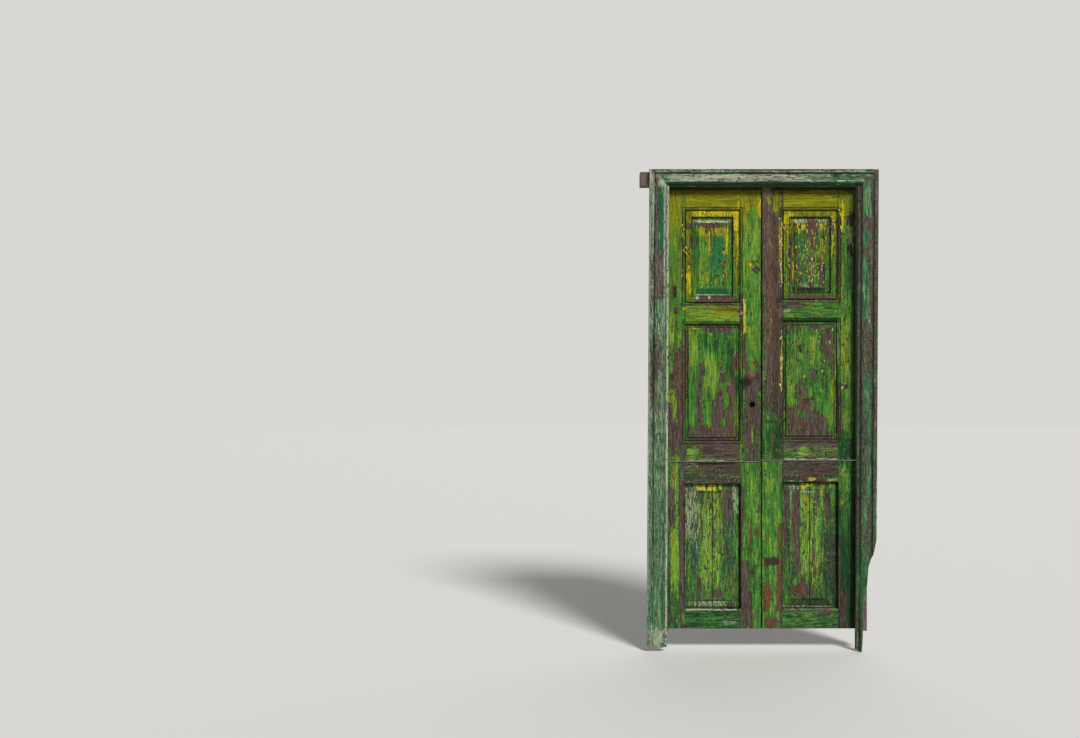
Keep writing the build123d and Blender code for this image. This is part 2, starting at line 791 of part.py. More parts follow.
def build_staple(name, x, z):
    """A plate with one loose square loop, which catches the end of a rod."""
    hole = BOLT_ROD_RADIUS + STAPLE_LOOSENESS
    with BuildPart() as staple:
        block(
            (x - BOLT_PLATE[0] / 2, x + BOLT_PLATE[0] / 2),
            (BACK, BACK + BOLT_PLATE[1]),
            (z - STAPLE_PLATE_LENGTH / 2, z + STAPLE_PLATE_LENGTH / 2),
        )
        guide(x, z, hole, BOLT_GUIDE[1])
        block(
            (x - hole, x + hole),
            (BACK + BOLT_PLATE[1], BOLT_ROD_Y + hole),
            (z - BOLT_GUIDE[1], z + BOLT_GUIDE[1]),
            mode=Mode.SUBTRACT,
        )
    save(staple, name)


def build_knob():
    """A mushroom pull with its rose and the spindle that runs through the stile."""
    rose, rose_height = KNOB_ROSE
    spindle_end = BACK + KNOB_NUT_THICKNESS + KNOB_THREAD_END
    neck_foot = FACE - 2 * rose_height
    rim = FACE - KNOB_RIM
    with BuildPart() as knob:
        with BuildSketch(Plane.XY.offset(KNOB_Z).move(Location((KNOB_X, 0, 0)))):
            with BuildLine():
                Polyline(
                    (0, FACE - KNOB_REACH),
                    (0, spindle_end),
                    (KNOB_SPINDLE, spindle_end),
                    (KNOB_SPINDLE, FACE),
                    (rose, FACE),
                    (rose, FACE - rose_height),
                    (KNOB_NECK, neck_foot),
                )
                ThreePointArc(
                    (KNOB_NECK, neck_foot),
                    (KNOB_NECK + KNOB_NECK_FLARE, (neck_foot + 2 * rim) / 3),
                    (KNOB_RADIUS, rim),
                )
                TangentArc((0, FACE - KNOB_REACH), (KNOB_RADIUS, rim), tangent=(1, 0))
            make_face()
        revolve(axis=Axis((KNOB_X, 0, KNOB_Z), (0, 1, 0)))
    save(knob, "pull_knob")

    with BuildPart() as nut:
        with BuildSketch(Plane.XZ.offset(-BACK)):
            with Locations((KNOB_X, KNOB_Z)):
                Rectangle(KNOB_NUT_SIDE, KNOB_NUT_SIDE)
                Circle(KNOB_SPINDLE + KNOB_HOLE_CLEARANCE, mode=Mode.SUBTRACT)
        extrude(amount=-KNOB_NUT_THICKNESS)
    save(nut, "knob_nut")


def build_lock():
    """Rim lock on the left leaf, its bolt drawn back, and the keeper on the right leaf."""
    case_edge = -LEAF_INNER - LOCK_EDGE_GAP
    case_middle = KEYHOLE_Z + LOCK_CASE_LIFT
    bolt_z = KEYHOLE_Z + LOCK_BOLT_LIFT
    bolt_y = BACK + LOCK_CASE[1] / 2
    free = LOCK_BOLT_CLEARANCE
    with BuildPart() as case:
        block(
            (case_edge - LOCK_CASE[0], case_edge),
            (BACK, BACK + LOCK_CASE[1]),
            (case_middle - LOCK_CASE[2] / 2, case_middle + LOCK_CASE[2] / 2),
        )
        block(
            (case_edge - LOCK_BOLT[0] - OVERCUT, case_edge + OVERCUT),
            (bolt_y - LOCK_BOLT[1] / 2 - free, bolt_y + LOCK_BOLT[1] / 2 + free),
            (bolt_z - LOCK_BOLT[2] / 2 - free, bolt_z + LOCK_BOLT[2] / 2 + free),
            mode=Mode.SUBTRACT,
        )
        with BuildSketch(Plane.XZ.offset(-BACK)):
            with Locations((KEYHOLE_X, KEYHOLE_Z)):
                Circle(KEY_RADIUS)
            with Locations((KEYHOLE_X, KEYHOLE_Z - KEY_SLOT[1] / 2)):
                Rectangle(KEY_SLOT[0], KEY_SLOT[1])
        extrude(amount=-KEY_DEPTH, mode=Mode.SUBTRACT)
    save(case, "lock_case")

    with BuildPart() as bolt:
        block(
            (case_edge - LOCK_BOLT[0], case_edge),
            (bolt_y - LOCK_BOLT[1] / 2, bolt_y + LOCK_BOLT[1] / 2),
            (bolt_z - LOCK_BOLT[2] / 2, bolt_z + LOCK_BOLT[2] / 2),
        )
    save(bolt, "lock_bolt")

    keeper_edge = LEAF_INNER + LOCK_EDGE_GAP
    with BuildPart() as keeper:
        block(
            (keeper_edge, keeper_edge + KEEPER[0]),
            (BACK, BACK + KEEPER[1]),
            (bolt_z - KEEPER[2] / 2, bolt_z + KEEPER[2] / 2),
        )
        block(
            (keeper_edge - OVERCUT, keeper_edge + KEEPER[0] - KEEPER_WALL),
            (BACK + KEEPER_WALL / 2, BACK + KEEPER[1] - KEEPER_WALL),
            (bolt_z - KEEPER[2] / 2 + 2 * KEEPER_WALL, bolt_z + KEEPER[2] / 2 - 2 * KEEPER_WALL),
            mode=Mode.SUBTRACT,
        )
    save(keeper, "lock_keeper")


# Upper leaves


def build_upper_leaf(side):
    """An upper leaf: its stiles and rails, both panels, its hinge halves and its link bolt."""
    prefix = f"upper_{SIDE_NAME[side]}"
    bottom = SPLIT[side] + SPLIT_GAP / 2
    near = LEAF_INNER + UPPER_LOCK_STILE
    far = LEAF_OUTER - UPPER_HINGE_STILE
    top_rail = (LEAF_TOP - TOP_RAIL, LEAF_TOP)
    middle = MIDDLE_RAIL_Z[side]
    middle_rail = (middle - MIDDLE_RAIL / 2, middle + MIDDLE_RAIL / 2)
    bottom_rail = (bottom, bottom + BOTTOM_RAIL)
    rails = (top_rail, middle_rail, bottom_rail)

    small = Opening(side, near, far, middle_rail[1], top_rail[0], UPPER_LIP, UPPER_GROOVE)
    large = Opening(side, near, far, bottom_rail[1], middle_rail[0], UPPER_LIP, UPPER_GROOVE)
    openings = (small, large)
    for opening in openings:
        opening.make_cutter(moulded=True)

    build_hinge_stile(
        f"{prefix}_hinge_stile", side, far, (bottom, LEAF_TOP), rails, openings, HINGE_HEIGHTS_UPPER
    )
    with BuildPart() as stile:
        block(across(side, LEAF_INNER, near), (FACE, BACK), (bottom, LEAF_TOP))
        mortises(side, near, -1, rails)
        for opening in openings:
            add(opening.cutter, mode=Mode.SUBTRACT)
        if side == LEFT:
            add(lock_stile_holes(), mode=Mode.SUBTRACT)
    save(stile, f"{prefix}_lock_stile")

    build_rail(f"{prefix}_top_rail", side, near, far, top_rail, (small,))
    build_rail(f"{prefix}_middle_rail", side, near, far, middle_rail, openings)
    build_rail(f"{prefix}_bottom_rail", side, near, far, bottom_rail, (large,))

    small_field = raised_field(small, TRIM_GAP + TRIM_WIDTH + SMALL_MARGIN, SMALL_BEVEL, SMALL_RAISE)
    build_panel_board(f"{prefix}_small_panel", small, small_field)
    build_trim(f"{prefix}_panel_trim", small)
    large_field = raised_field(large, LARGE_MARGIN, LARGE_BEVEL, LARGE_RAISE)
    build_panel_board(f"{prefix}_large_panel", large, large_field)

    build_hinge_plates(
        f"{prefix}_hinge_plates", side, (LEAF_OUTER - HINGE_PLATE, LEAF_OUTER), HINGE_HEIGHTS_UPPER, (1,)
    )

    link_x = side * BOLT_X
    link_end = SPLIT[side] + LINK_BOLT_REST
    link_plate = link_end + BOLT_GUIDE_INSET
    build_bolt_base(f"{prefix}_link_bolt_base", link_x, link_plate)
    build_bolt_rod(
        f"link_bolt_rod_{SIDE_NAME[side]}", link_x, link_plate, link_end, -1, LINK_BOLT_TRAVEL
    )


def lock_stile_holes():
    """The waste of the worn keyhole, the spindle's hole and the shallow recess above them."""
    with BuildPart() as waste:
        with BuildSketch(Plane.XZ.offset(OVERCUT - FACE)):
            with Locations((KEYHOLE_X, KEYHOLE_Z)):
                RegularPolygon(KEYHOLE_RADIUS, KEYHOLE_SIDES, rotation=12)
            with Locations((KNOB_X, KNOB_Z)):
                Circle(KNOB_SPINDLE + KNOB_HOLE_CLEARANCE)
        extrude(amount=-LEAF_THICKNESS - 2 * OVERCUT)
        with BuildSketch(Plane.XZ.offset(OVERCUT - FACE)):
            with Locations((RECESS_X, RECESS_Z)):
                Rectangle(RECESS_SIDE, RECESS_SIDE, rotation=45)
        extrude(amount=-RECESS_DEPTH - OVERCUT)
    return waste.part


def build_cover_strip():
    """The plain strip nailed over the right leaf's meeting stile."""
    with BuildPart() as strip:
        block(
            (LEAF_INNER, LEAF_INNER + STRIP_WIDTH),
            (FACE - STRIP_THICKNESS, FACE),
            (SPLIT_RIGHT + SPLIT_GAP / 2 + STRIP_FOOT_GAP, HEAD_UNDERSIDE - STRIP_TOP_GAP),
        )
        chamfer(strip.edges().filter_by(Axis.Z).group_by(Axis.Y)[0], length=STRIP_CHAMFER)
    save(strip, "cover_strip")


# Lower leaves


def build_lower_leaf(side):
    """A lower leaf: its stiles and rails, the two boards of its panel, its hinge halves and its staple."""
    prefix = f"lower_{SIDE_NAME[side]}"
    bottom = THRESHOLD_GAP
    top = SPLIT[side] - SPLIT_GAP / 2
    near = LEAF_INNER + LOWER_LOCK_STILE
    far = LEAF_OUTER - LOWER_HINGE_STILE
    top_rail = (top - LOWER_TOP_RAIL, top)
    bottom_rail = (bottom, bottom + LOWER_BOTTOM_RAIL)
    rails = (top_rail, bottom_rail)
    opening = Opening(side, near, far, bottom_rail[1], top_rail[0], LOWER_LIP, LOWER_GROOVE)
    opening.make_cutter(moulded=False)

    build_hinge_stile(
        f"{prefix}_hinge_stile", side, far, (bottom, top), rails, (opening,), HINGE_HEIGHTS_LOWER
    )
    with BuildPart() as stile:
        block(across(side, LEAF_INNER, near), (FACE, BACK), (bottom, top))
        mortises(side, near, -1, rails)
        add(opening.cutter, mode=Mode.SUBTRACT)
    save(stile, f"{prefix}_lock_stile")
    worn = worn_edge(near, far, top_rail[0]) if side == RIGHT else None
    build_rail(f"{prefix}_top_rail", side, near, far, top_rail, (opening,), worn)
    build_rail(f"{prefix}_bottom_rail", side, near, far, bottom_rail, (opening,))

    field = raised_field(opening, 0, LOWER_BEVEL, LOWER_RAISE)
    seam = (opening.left + opening.right) / 2
    full_xs, zs = opening.grown(GROOVE_DEPTH - PANEL_SHRINKAGE)
    boards = {"left": (full_xs[0], seam - BOARD_GAP / 2), "right": (seam + BOARD_GAP / 2, full_xs[1])}
    for board, xs in boards.items():
        with BuildPart() as half:
            block(
                full_xs,
                (opening.groove_front + PANEL_CLEARANCE, opening.groove_back - PANEL_CLEARANCE),
                zs,
            )
            add(field)
            block(xs, (FACE, BACK), zs, mode=Mode.INTERSECT)
        save(half, f"{prefix}_panel_board_{board}")

    build_hinge_plates(
        f"{prefix}_hinge_plates", side, (LEAF_OUTER - HINGE_PLATE, LEAF_OUTER), HINGE_HEIGHTS_LOWER, (1,)
    )
    build_staple(f"{prefix}_link_staple", side * BOLT_X, SPLIT[side] - LINK_BOLT_TRAVEL / 2)


def build_foot_bolt():
    """The bolt that drops from the lower right leaf into the threshold."""
    end = THRESHOLD_GAP + FOOT_BOLT_REST
    plate = end + BOLT_GUIDE_INSET
    build_bolt_base("foot_bolt_base", BOLT_X, plate)
    build_bolt_rod("foot_bolt_rod", BOLT_X, plate, end, -1, FOOT_BOLT_TRAVEL)


def build_top_bolt():
    """The bolt that rises from the upper right leaf into its keeper on the frame head."""
    end = LEAF_TOP - TOP_BOLT_REST
    plate = end - BOLT_GUIDE_INSET - BOLT_PLATE_LENGTH
    build_bolt_base("top_bolt_base", BOLT_X, plate)
    build_bolt_rod("top_bolt_rod", BOLT_X, plate, end, 1, TOP_BOLT_TRAVEL)
    build_staple("top_bolt_keeper", BOLT_X, HEAD_TOP - STAPLE_PLATE_LENGTH / 2 - KEEPER_INSET)


def build_post_hinges(side):
    """The hinge halves on a post, and the pins in them."""
    build_hinge_plates(
        f"post_hinge_plates_{SIDE_NAME[side]}",
        side,
        (REBATE_HALF, REBATE_HALF + HINGE_PLATE),
        HINGE_HEIGHTS_UPPER + HINGE_HEIGHTS_LOWER,
        (0, 2),
    )
    build_hinge_pins(side)


build_frame_head()
build_head_casing()
build_cover_strip()
build_knob()
build_lock()
build_foot_bolt()
build_top_bolt()
for door_side in (LEFT, RIGHT):
    build_post(door_side)
    build_side_casing(door_side)
    build_upper_leaf(door_side)
    build_lower_leaf(door_side)
    build_post_hinges(door_side)
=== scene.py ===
"""Looks of an old four-leaf street door: peeling paint in layers, bare wood and rusted iron."""

import logging
import math
import random
from dataclasses import dataclass, replace
from enum import Enum

import bpy
from mathutils import Euler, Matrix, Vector


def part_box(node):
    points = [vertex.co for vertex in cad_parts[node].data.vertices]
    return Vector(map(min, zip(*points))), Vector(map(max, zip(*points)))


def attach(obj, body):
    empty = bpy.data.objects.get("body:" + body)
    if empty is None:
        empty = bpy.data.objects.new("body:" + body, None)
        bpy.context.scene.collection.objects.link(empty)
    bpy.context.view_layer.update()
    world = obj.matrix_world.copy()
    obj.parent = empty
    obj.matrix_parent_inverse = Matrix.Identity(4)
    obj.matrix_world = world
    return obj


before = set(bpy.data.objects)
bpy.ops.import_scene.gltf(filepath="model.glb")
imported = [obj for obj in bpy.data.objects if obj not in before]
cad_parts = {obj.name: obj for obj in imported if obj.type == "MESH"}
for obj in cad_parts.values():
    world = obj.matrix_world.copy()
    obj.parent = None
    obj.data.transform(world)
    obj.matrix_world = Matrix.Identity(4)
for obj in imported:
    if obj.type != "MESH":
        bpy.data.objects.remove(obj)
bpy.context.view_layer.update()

log = logging.getLogger("door")

Colour = tuple[float, float, float, float]
Pair = tuple[float, float]
Rect = tuple[float, float, float, float]
Material = bpy.types.Material
Piece = bpy.types.Object
MM = 0.001
HEAD_TOP = 2175.0
CASING_LEAN = 0.0057
INNER_SKIN = 1.0
NOISE_SPREAD = (0.3, 0.7)
# How far these lie from the edge of an upper leaf's opening, in millimetres.
MOULDING, STRIP, SMALL_FIELD, LARGE_FIELD = 14.0, 31.0, 63.0, 13.0
SMOOTH_BELOW = math.radians(40)
SQUARE_ON = math.radians(90)


def srgb(red: int, green: int, blue: int) -> Colour:
    """Turn a colour as seen on a screen into the linear one that shaders take.

    Args:
        red: Red from 0 to 255.
        green: Green from 0 to 255.
        blue: Blue from 0 to 255.

    Returns:
        The linear colour with full alpha.
    """

    def linear(part: int) -> float:
        """Turn one part of the colour."""
        share = part / 255
        return share / 12.92 if share <= 0.04045 else ((share + 0.055) / 1.055) ** 2.4

    return linear(red), linear(green), linear(blue), 1.0


CRACK = srgb(24, 17, 13)
PIT = srgb(34, 22, 17)
# The painted shadow on bare wood beside the curled edges of the paint.
EDGE_SHADOW = srgb(18, 15, 10)
# The colour of grime, also used for painted shade under the head casing, beside the right casing
# and in recesses.
DIRT_AND_SHADE = srgb(24, 22, 14)
INNER_PAINT = srgb(112, 124, 88)
IRON = srgb(88, 70, 62)
RUST = srgb(128, 82, 54)
FLOOR = srgb(216, 214, 210)
BACKDROP = srgb(217, 215, 212)
WHITE = (1.0, 1.0, 1.0, 1.0)


class Grain(Enum):
    """Which way a board's grain runs, as the stretch of its noise along x, y and z."""

    UPRIGHT = (1.0, 1.0, 0.1)
    LEVEL = (0.1, 1.0, 1.0)


class Channel(Enum):
    """What a patch of wear, or of painted shade or highlight, changes on a board."""

    COVER = "cover"
    YELLOW = "yellow"
    LIGHT = "light"
    TEAL = "teal"
    DARK = "dark"
    RED = "red"
    PALE = "pale"


class Form(Enum):
    """The outline of a patch of wear."""

    OVAL = "oval"
    BLOCK = "block"
    LINE = "line"


class Kind(Enum):
    """What a socket of a shader group carries."""

    NUMBER = "NodeSocketFloat"
    PLACE = "NodeSocketVector"
    COLOUR = "NodeSocketColor"


class Curl(Enum):
    """The outer side of curled flakes: the name of its paint, its dark and its light tone."""

    GREEN = ("green", srgb(44, 104, 40), srgb(96, 150, 52))
    YELLOW = ("yellow", srgb(150, 140, 14), srgb(214, 202, 40))
    CREAM = ("cream", srgb(168, 160, 74), srgb(216, 212, 150))
    DARK = ("dark", srgb(38, 58, 30), srgb(92, 98, 46))


@dataclass(frozen=True)
class Flurry:
    """A group of curled flakes inside a rectangle on the door's face, in millimetres."""

    curl: Curl
    left: float
    right: float
    bottom: float
    top: float
    count: int
    length: float


@dataclass(frozen=True)
class Patch:
    """A place where a board's wear or painted shade differs, in millimetres on the face of the
    door.
    """

    left: float
    right: float
    bottom: float
    top: float
    amount: float
    form: Form = Form.OVAL

    def touches(self, rect: Rect) -> bool:
        """Say whether the patch reaches into a rectangle given as x0, x1, z0, z1."""
        across = self.right > rect[0] and self.left < rect[1]
        return across and self.top > rect[2] and self.bottom < rect[3]


# Patches by channel; some on the dark and pale channels are painted shade or painted highlight.
Wear = dict[Channel, tuple[Patch, ...]]


def patches(*rows: tuple[float | Form, ...]) -> tuple[Patch, ...]:
    """Read rows of left, right, bottom, top, amount and, other than an oval, form."""
    return tuple(Patch(*row) for row in rows)


@dataclass(frozen=True)
class Coat:
    """The paint layers of a board, from the last one down, and the wood under them."""

    top: Colour = srgb(128, 130, 2)
    bright: Colour = srgb(198, 186, 14)
    light: Colour = srgb(116, 150, 46)
    fresh: Colour = srgb(64, 124, 42)
    deep: Colour = srgb(22, 76, 34)
    under: Colour = srgb(28, 108, 60)
    # The painted highlight on the curled edges of the paint.
    rim: Colour = srgb(206, 198, 92)
    pale: Colour = srgb(176, 180, 152)
    wood: Colour = srgb(122, 109, 101)
    wood_dark: Colour = srgb(46, 40, 36)
    wood_red: Colour = srgb(122, 80, 58)


UPPER_COAT = Coat()
STRIP_COAT = Coat(wood=srgb(146, 126, 114), wood_dark=srgb(44, 38, 33), wood_red=srgb(132, 86, 64))
LOWER_COAT = Coat(
    top=srgb(150, 152, 24),
    light=srgb(116, 158, 50),
    fresh=srgb(60, 120, 44),
    deep=srgb(22, 70, 38),
    under=srgb(28, 88, 58),
    rim=srgb(182, 190, 128),
    wood_red=srgb(140, 74, 38),
)
CASING_COAT = Coat(
    top=srgb(122, 152, 96),
    light=srgb(116, 148, 104),
    fresh=srgb(66, 118, 74),
    deep=srgb(24, 70, 48),
    under=srgb(34, 92, 56),
    rim=srgb(188, 194, 160),
    pale=srgb(174, 180, 156),
    wood=srgb(142, 130, 121),
    wood_dark=srgb(54, 48, 45),
    wood_red=srgb(116, 82, 68),
)
FRAME_COAT = Coat(
    light=srgb(96, 130, 84),
    fresh=srgb(76, 112, 66),
    deep=srgb(48, 80, 50),
    rim=srgb(170, 170, 140),
    wood=srgb(152, 138, 134),
    wood_dark=srgb(84, 72, 68),
)


@dataclass(frozen=True)
class Noise:
    """Blotches of about a size in millimetres, with finer layers of some strength."""

    size: float
    layers: float = 3.0
    strength: float = 0.55


@dataclass(frozen=True)
class Crease:
    """A dark line along a rectangle's edge: a dark joint, or painted shade in a recess; with the
    half of its width and how dark it is.
    """

    rect: Rect
    half: float
    depth: float


@dataclass(frozen=True)
class Board:
    """The finish of one board: how much of each layer it shows at its bottom and at its top."""

    node: str
    grain: Grain
    coat: Coat = UPPER_COAT
    cover: Pair = (0.9, 0.9)
    yellow: Pair = (0.1, 0.1)
    light: Pair = (0.0, 0.0)
    teal: Pair = (0.1, 0.1)
    dark: Pair = (0.0, 0.0)
    red: Pair = (0.2, 0.2)
    pale: Pair = (0.0, 0.0)
    flake: float = 1.0
    lean: float = 0.0

    def levels(self, channel: Channel) -> Pair:
        """Give the board's own level of a channel, at its bottom and at its top."""
        return getattr(self, channel.value)


@dataclass(frozen=True)
class Wire:
    """A value on its way through a shader tree, which formulas can use like a number."""

    graph: "Graph"
    socket: bpy.types.NodeSocket

    def __add__(self, other: "Value") -> "Wire":
        """Add a value."""
        return self.graph.math("ADD", self, other)

    def __sub__(self, other: "Value") -> "Wire":
        """Take a value off it."""
        return self.graph.math("SUBTRACT", self, other)

    def __rsub__(self, other: "Value") -> "Wire":
        """Take it off a value."""
        return self.graph.math("SUBTRACT", other, self)

    def __mul__(self, other: "Value") -> "Wire":
        """Multiply it."""
        return self.graph.math("MULTIPLY", self, other)

    def __truediv__(self, other: "Value") -> "Wire":
        """Divide it."""
        return self.graph.math("DIVIDE", self, other)

    def __abs__(self) -> "Wire":
        """Drop its sign."""
        return self.graph.math("ABSOLUTE", self)

    def root(self) -> "Wire":
        """Take its square root."""
        return self.graph.math("SQRT", self)

    def above(self, other: "Value") -> "Wire":
        """Take the larger of it and a value."""
        return self.graph.math("MAXIMUM", self, other)

    def below(self, other: "Value") -> "Wire":
        """Take the smaller of it and a value."""
        return self.graph.math("MINIMUM", self, other)

    def ramp(self, start: float, end: float, low: float = 0.0, high: float = 1.0) -> "Wire":
        """Make it a straight ramp from low at start to high at end."""
        return self.graph.add("ShaderNodeMapRange", self, start, end, low, high)

    def fade(self, start: float, end: float, low: float = 0.0, high: float = 1.0) -> "Wire":
        """Make it a smooth step.

        Args:
            start: Where the step starts.
            end: Where it ends.
            low: What it gives at the start and before it.
            high: What it gives at the end and after it.

        Returns:
            The step.
        """
        return self.graph.add(
            "ShaderNodeMapRange", self, start, end, low, high, interpolation_type="SMOOTHSTEP"
        )


Value = float | Wire
Feed = float | tuple[float, ...] | Wire | None


class Graph:
    """Adds nodes to a shader tree and joins them, so that a finish reads from top to bottom."""

    def __init__(self, tree: bpy.types.NodeTree) -> None:
        """Work on a node tree."""
        self.tree = tree

    def feed(self, socket: bpy.types.NodeSocket, value: Feed) -> None:
        """Join a socket to a wire, or set its own value.

        Args:
            socket: The input.
            value: What it gets; None leaves it as it is.
        """
        if isinstance(value, Wire):
            self.tree.links.new(value.socket, socket)
        elif value is not None:
            socket.default_value = value

    def node(self, kind: str, inputs: dict[str, Feed], **settings: str) -> dict[str, Wire]:
        """Add a node whose sockets are called by name.

        Args:
            kind: The node's type.
            inputs: Values or wires for its inputs.
            settings: Properties of the node.

        Returns:
            Its outputs by name.
        """
        node = self.tree.nodes.new(kind)
        for key, value in settings.items():
            setattr(node, key, value)
        for name, value in inputs.items():
            self.feed(node.inputs[name], value)
        return {socket.name: Wire(self, socket) for socket in node.outputs}

    def add(self, kind: str, *feeds: Feed, **settings: str | bool) -> Wire:
        """Add a node whose sockets go by their order.

        Args:
            kind: The node's type.
            feeds: Values or wires for its inputs.
            settings: Properties of the node.

        Returns:
            Its first output.
        """
        node = self.tree.nodes.new(kind)
        for key, value in settings.items():
            setattr(node, key, value)
        for socket, value in zip(node.inputs, feeds):
            self.feed(socket, value)
        return Wire(self, node.outputs[0])

    def math(self, operation: str, first: Value, second: Value = 0.0) -> Wire:
        """Join two values by an operation of the Math node."""
        return self.add("ShaderNodeMath", first, second, operation=operation)

    def vector(self, operation: str, *feeds: Feed) -> Wire:
        """Join places by an operation of the Vector Math node, whose fourth input is a scale."""
        return self.add("ShaderNodeVectorMath", *feeds, operation=operation)

    def split(self, place: Wire) -> tuple[Wire, ...]:
        """Take a place apart into x, y and z."""
        return tuple(self.node("ShaderNodeSeparateXYZ", {"Vector": place}).values())

    def noise(self, place: Wire, noise: Noise) -> Wire:
        """Add noise, spread over 0 to 1.

        Args:
            place: Where, in millimetres.
            noise: Its blotches.

        Returns:
            The noise.
        """
        inputs = {"Scale": 1 / noise.size, "Detail": noise.layers, "Roughness": noise.strength}
        found = self.node("ShaderNodeTexNoise", {"Vector": place, **inputs})
        return found["Fac"].ramp(*NOISE_SPREAD)

    def blend(self, share: Value, first: Feed, second: Feed, mode: str = "MIX") -> Wire:
        """Mix two colours.

        Args:
            share: How much of the second, from 0 to 1.
            first: The one colour.
            second: The other.
            mode: How they mix.

        Returns:
            The mixed colour.
        """
        node = self.tree.nodes.new("ShaderNodeMix")
        node.data_type, node.blend_type = "RGBA", mode
        for number, value in ((0, share), (6, first), (7, second)):
            self.feed(node.inputs[number], value)
        return Wire(self, node.outputs[2])

    def grey(self, value: Wire) -> Wire:
        """Turn a value into a grey of that brightness."""
        return self.add("ShaderNodeCombineColor", value, value, value)

    def bump(self, shader: bpy.types.Node, height: Wire, distance: float, strength: float) -> None:
        """Let a height shape the surface's normal.

        Args:
            shader: The material's shader.
            height: The height.
            distance: What a height of one stands for, in millimetres.
            strength: How much of it counts.
        """
        inputs = {"Strength": strength, "Distance": distance * MM, "Height": height}
        self.feed(shader.inputs["Normal"], self.node("ShaderNodeBump", inputs)["Normal"])

    def effect(self, effect: "Effect", **feeds: Feed) -> dict[str, Wire]:
        """Place a shared effect.

        Args:
            effect: The effect.
            feeds: Its inputs; an underscore in a name stands for a space.

        Returns:
            Its outputs by name.
        """
        node = self.tree.nodes.new("ShaderNodeGroup")
        node.node_tree = effect.tree
        for key, value in feeds.items():
            self.feed(node.inputs[key.replace("_", " ")], value)
        return {socket.name: Wire(self, socket) for socket in node.outputs}


class Effect:
    """A shader group that several finishes share."""

    name = ""

    def __init__(self) -> None:
        """Make the group."""
        self.tree = bpy.data.node_groups.new(self.name, "ShaderNodeTree")
        self.graph = Graph(self.tree)
        self.inside = self.tree.nodes.new("NodeGroupInput")
        self.outside = self.tree.nodes.new("NodeGroupOutput")
        self.build()

    def take(self, kind: Kind, *names: str) -> list[Wire]:
        """Add inputs.

        Args:
            kind: What they carry.
            names: Their names.

        Returns:
            The inputs as seen from inside.
        """
        for name in names:
            self.tree.interface.new_socket(name, in_out="INPUT", socket_type=kind.value)
        return [Wire(self.graph, self.inside.outputs[name]) for name in names]

    def give(self, kind: Kind, **values: Wire) -> None:
        """Add outputs.

        Args:
            kind: What they carry.
            values: The wire for each name.
        """
        for name, value in values.items():
            self.tree.interface.new_socket(name, in_out="OUTPUT", socket_type=kind.value)
            self.graph.feed(self.outside.inputs[name], value)

    def build(self) -> None:
        """Add the sockets and the nodes."""
        raise NotImplementedError


class SpotEffect(Effect):
    """The mask of an oval or a rectangle with a ragged edge."""

    name = "spot"

    def build(self) -> None:
        """Compare a place with the spot's outline, which lies at a reach of one."""
        [place] = self.take(Kind.PLACE, "Place")
        centre_x, centre_z, half_width, half_height = self.take(
            Kind.NUMBER, "Centre X", "Centre Z", "Half Width", "Half Height"
        )
        square, tear = self.take(Kind.NUMBER, "Square", "Tear")
        x, _, z = self.graph.split(place)
        across, up = abs((x - centre_x) / half_width), abs((z - centre_z) / half_height)
        oval = (across * across + up * up).root()
        block = across.above(up)
        reach = oval + square * (block - oval) + tear
        self.give(Kind.NUMBER, Mask=reach.fade(0.62, 1.18, 1.0, 0.0))


class RectEffect(Effect):
    """The distance out of a rectangle, less than nothing inside it."""

    name = "rect_distance"

    def build(self) -> None:
        """Take the largest of the four distances."""
        [place] = self.take(Kind.PLACE, "Place")
        left, right, bottom, top = self.take(Kind.NUMBER, "Left", "Right", "Bottom", "Top")
        x, _, z = self.graph.split(place)
        across, up = (left - x).above(x - right), (bottom - z).above(z - top)
        self.give(Kind.NUMBER, Distance=across.above(up))


class WoodEffect(Effect):
    """Bare weathered wood with streaks along the grain and drying cracks."""

    name = "bare_wood"
    streaks = Noise(5.0, 5.0, 0.7)
    pores = Noise(1.6, 3.0, 0.6)
    areas = Noise(22.0, 2.0)
    veins = Noise(9.0, 2.0)

    def build(self) -> None:
        """Lay reddish areas, dark pores and cracks over streaked wood."""
        graph = self.graph
        [grain] = self.take(Kind.PLACE, "Grain")
        light, dark, reddish = self.take(Kind.COLOUR, "Light", "Dark", "Reddish")
        [red] = self.take(Kind.NUMBER, "Red")
        streak, pores = graph.noise(grain, self.streaks), graph.noise(grain, self.pores)
        broad = graph.noise(grain, self.areas)
        vein = abs(graph.noise(grain, self.veins) - 0.5)
        crack = vein.fade(0.012, 0.05, 1.0, 0.0) * broad.fade(0.35, 0.65)
        colour = graph.blend(streak.ramp(0.2, 0.8), dark, light)
        colour = graph.blend((red + (broad - 0.5)).fade(0.2, 0.8) * 0.65, colour, reddish)
        colour = graph.blend(pores.ramp(0.0, 1.0, 0.75, 0.0), colour, dark)
        colour = graph.blend(crack * 0.85, colour, CRACK)
        self.give(Kind.COLOUR, Color=colour)
        self.give(Kind.NUMBER, Height=streak * 0.35 - crack * 0.6)


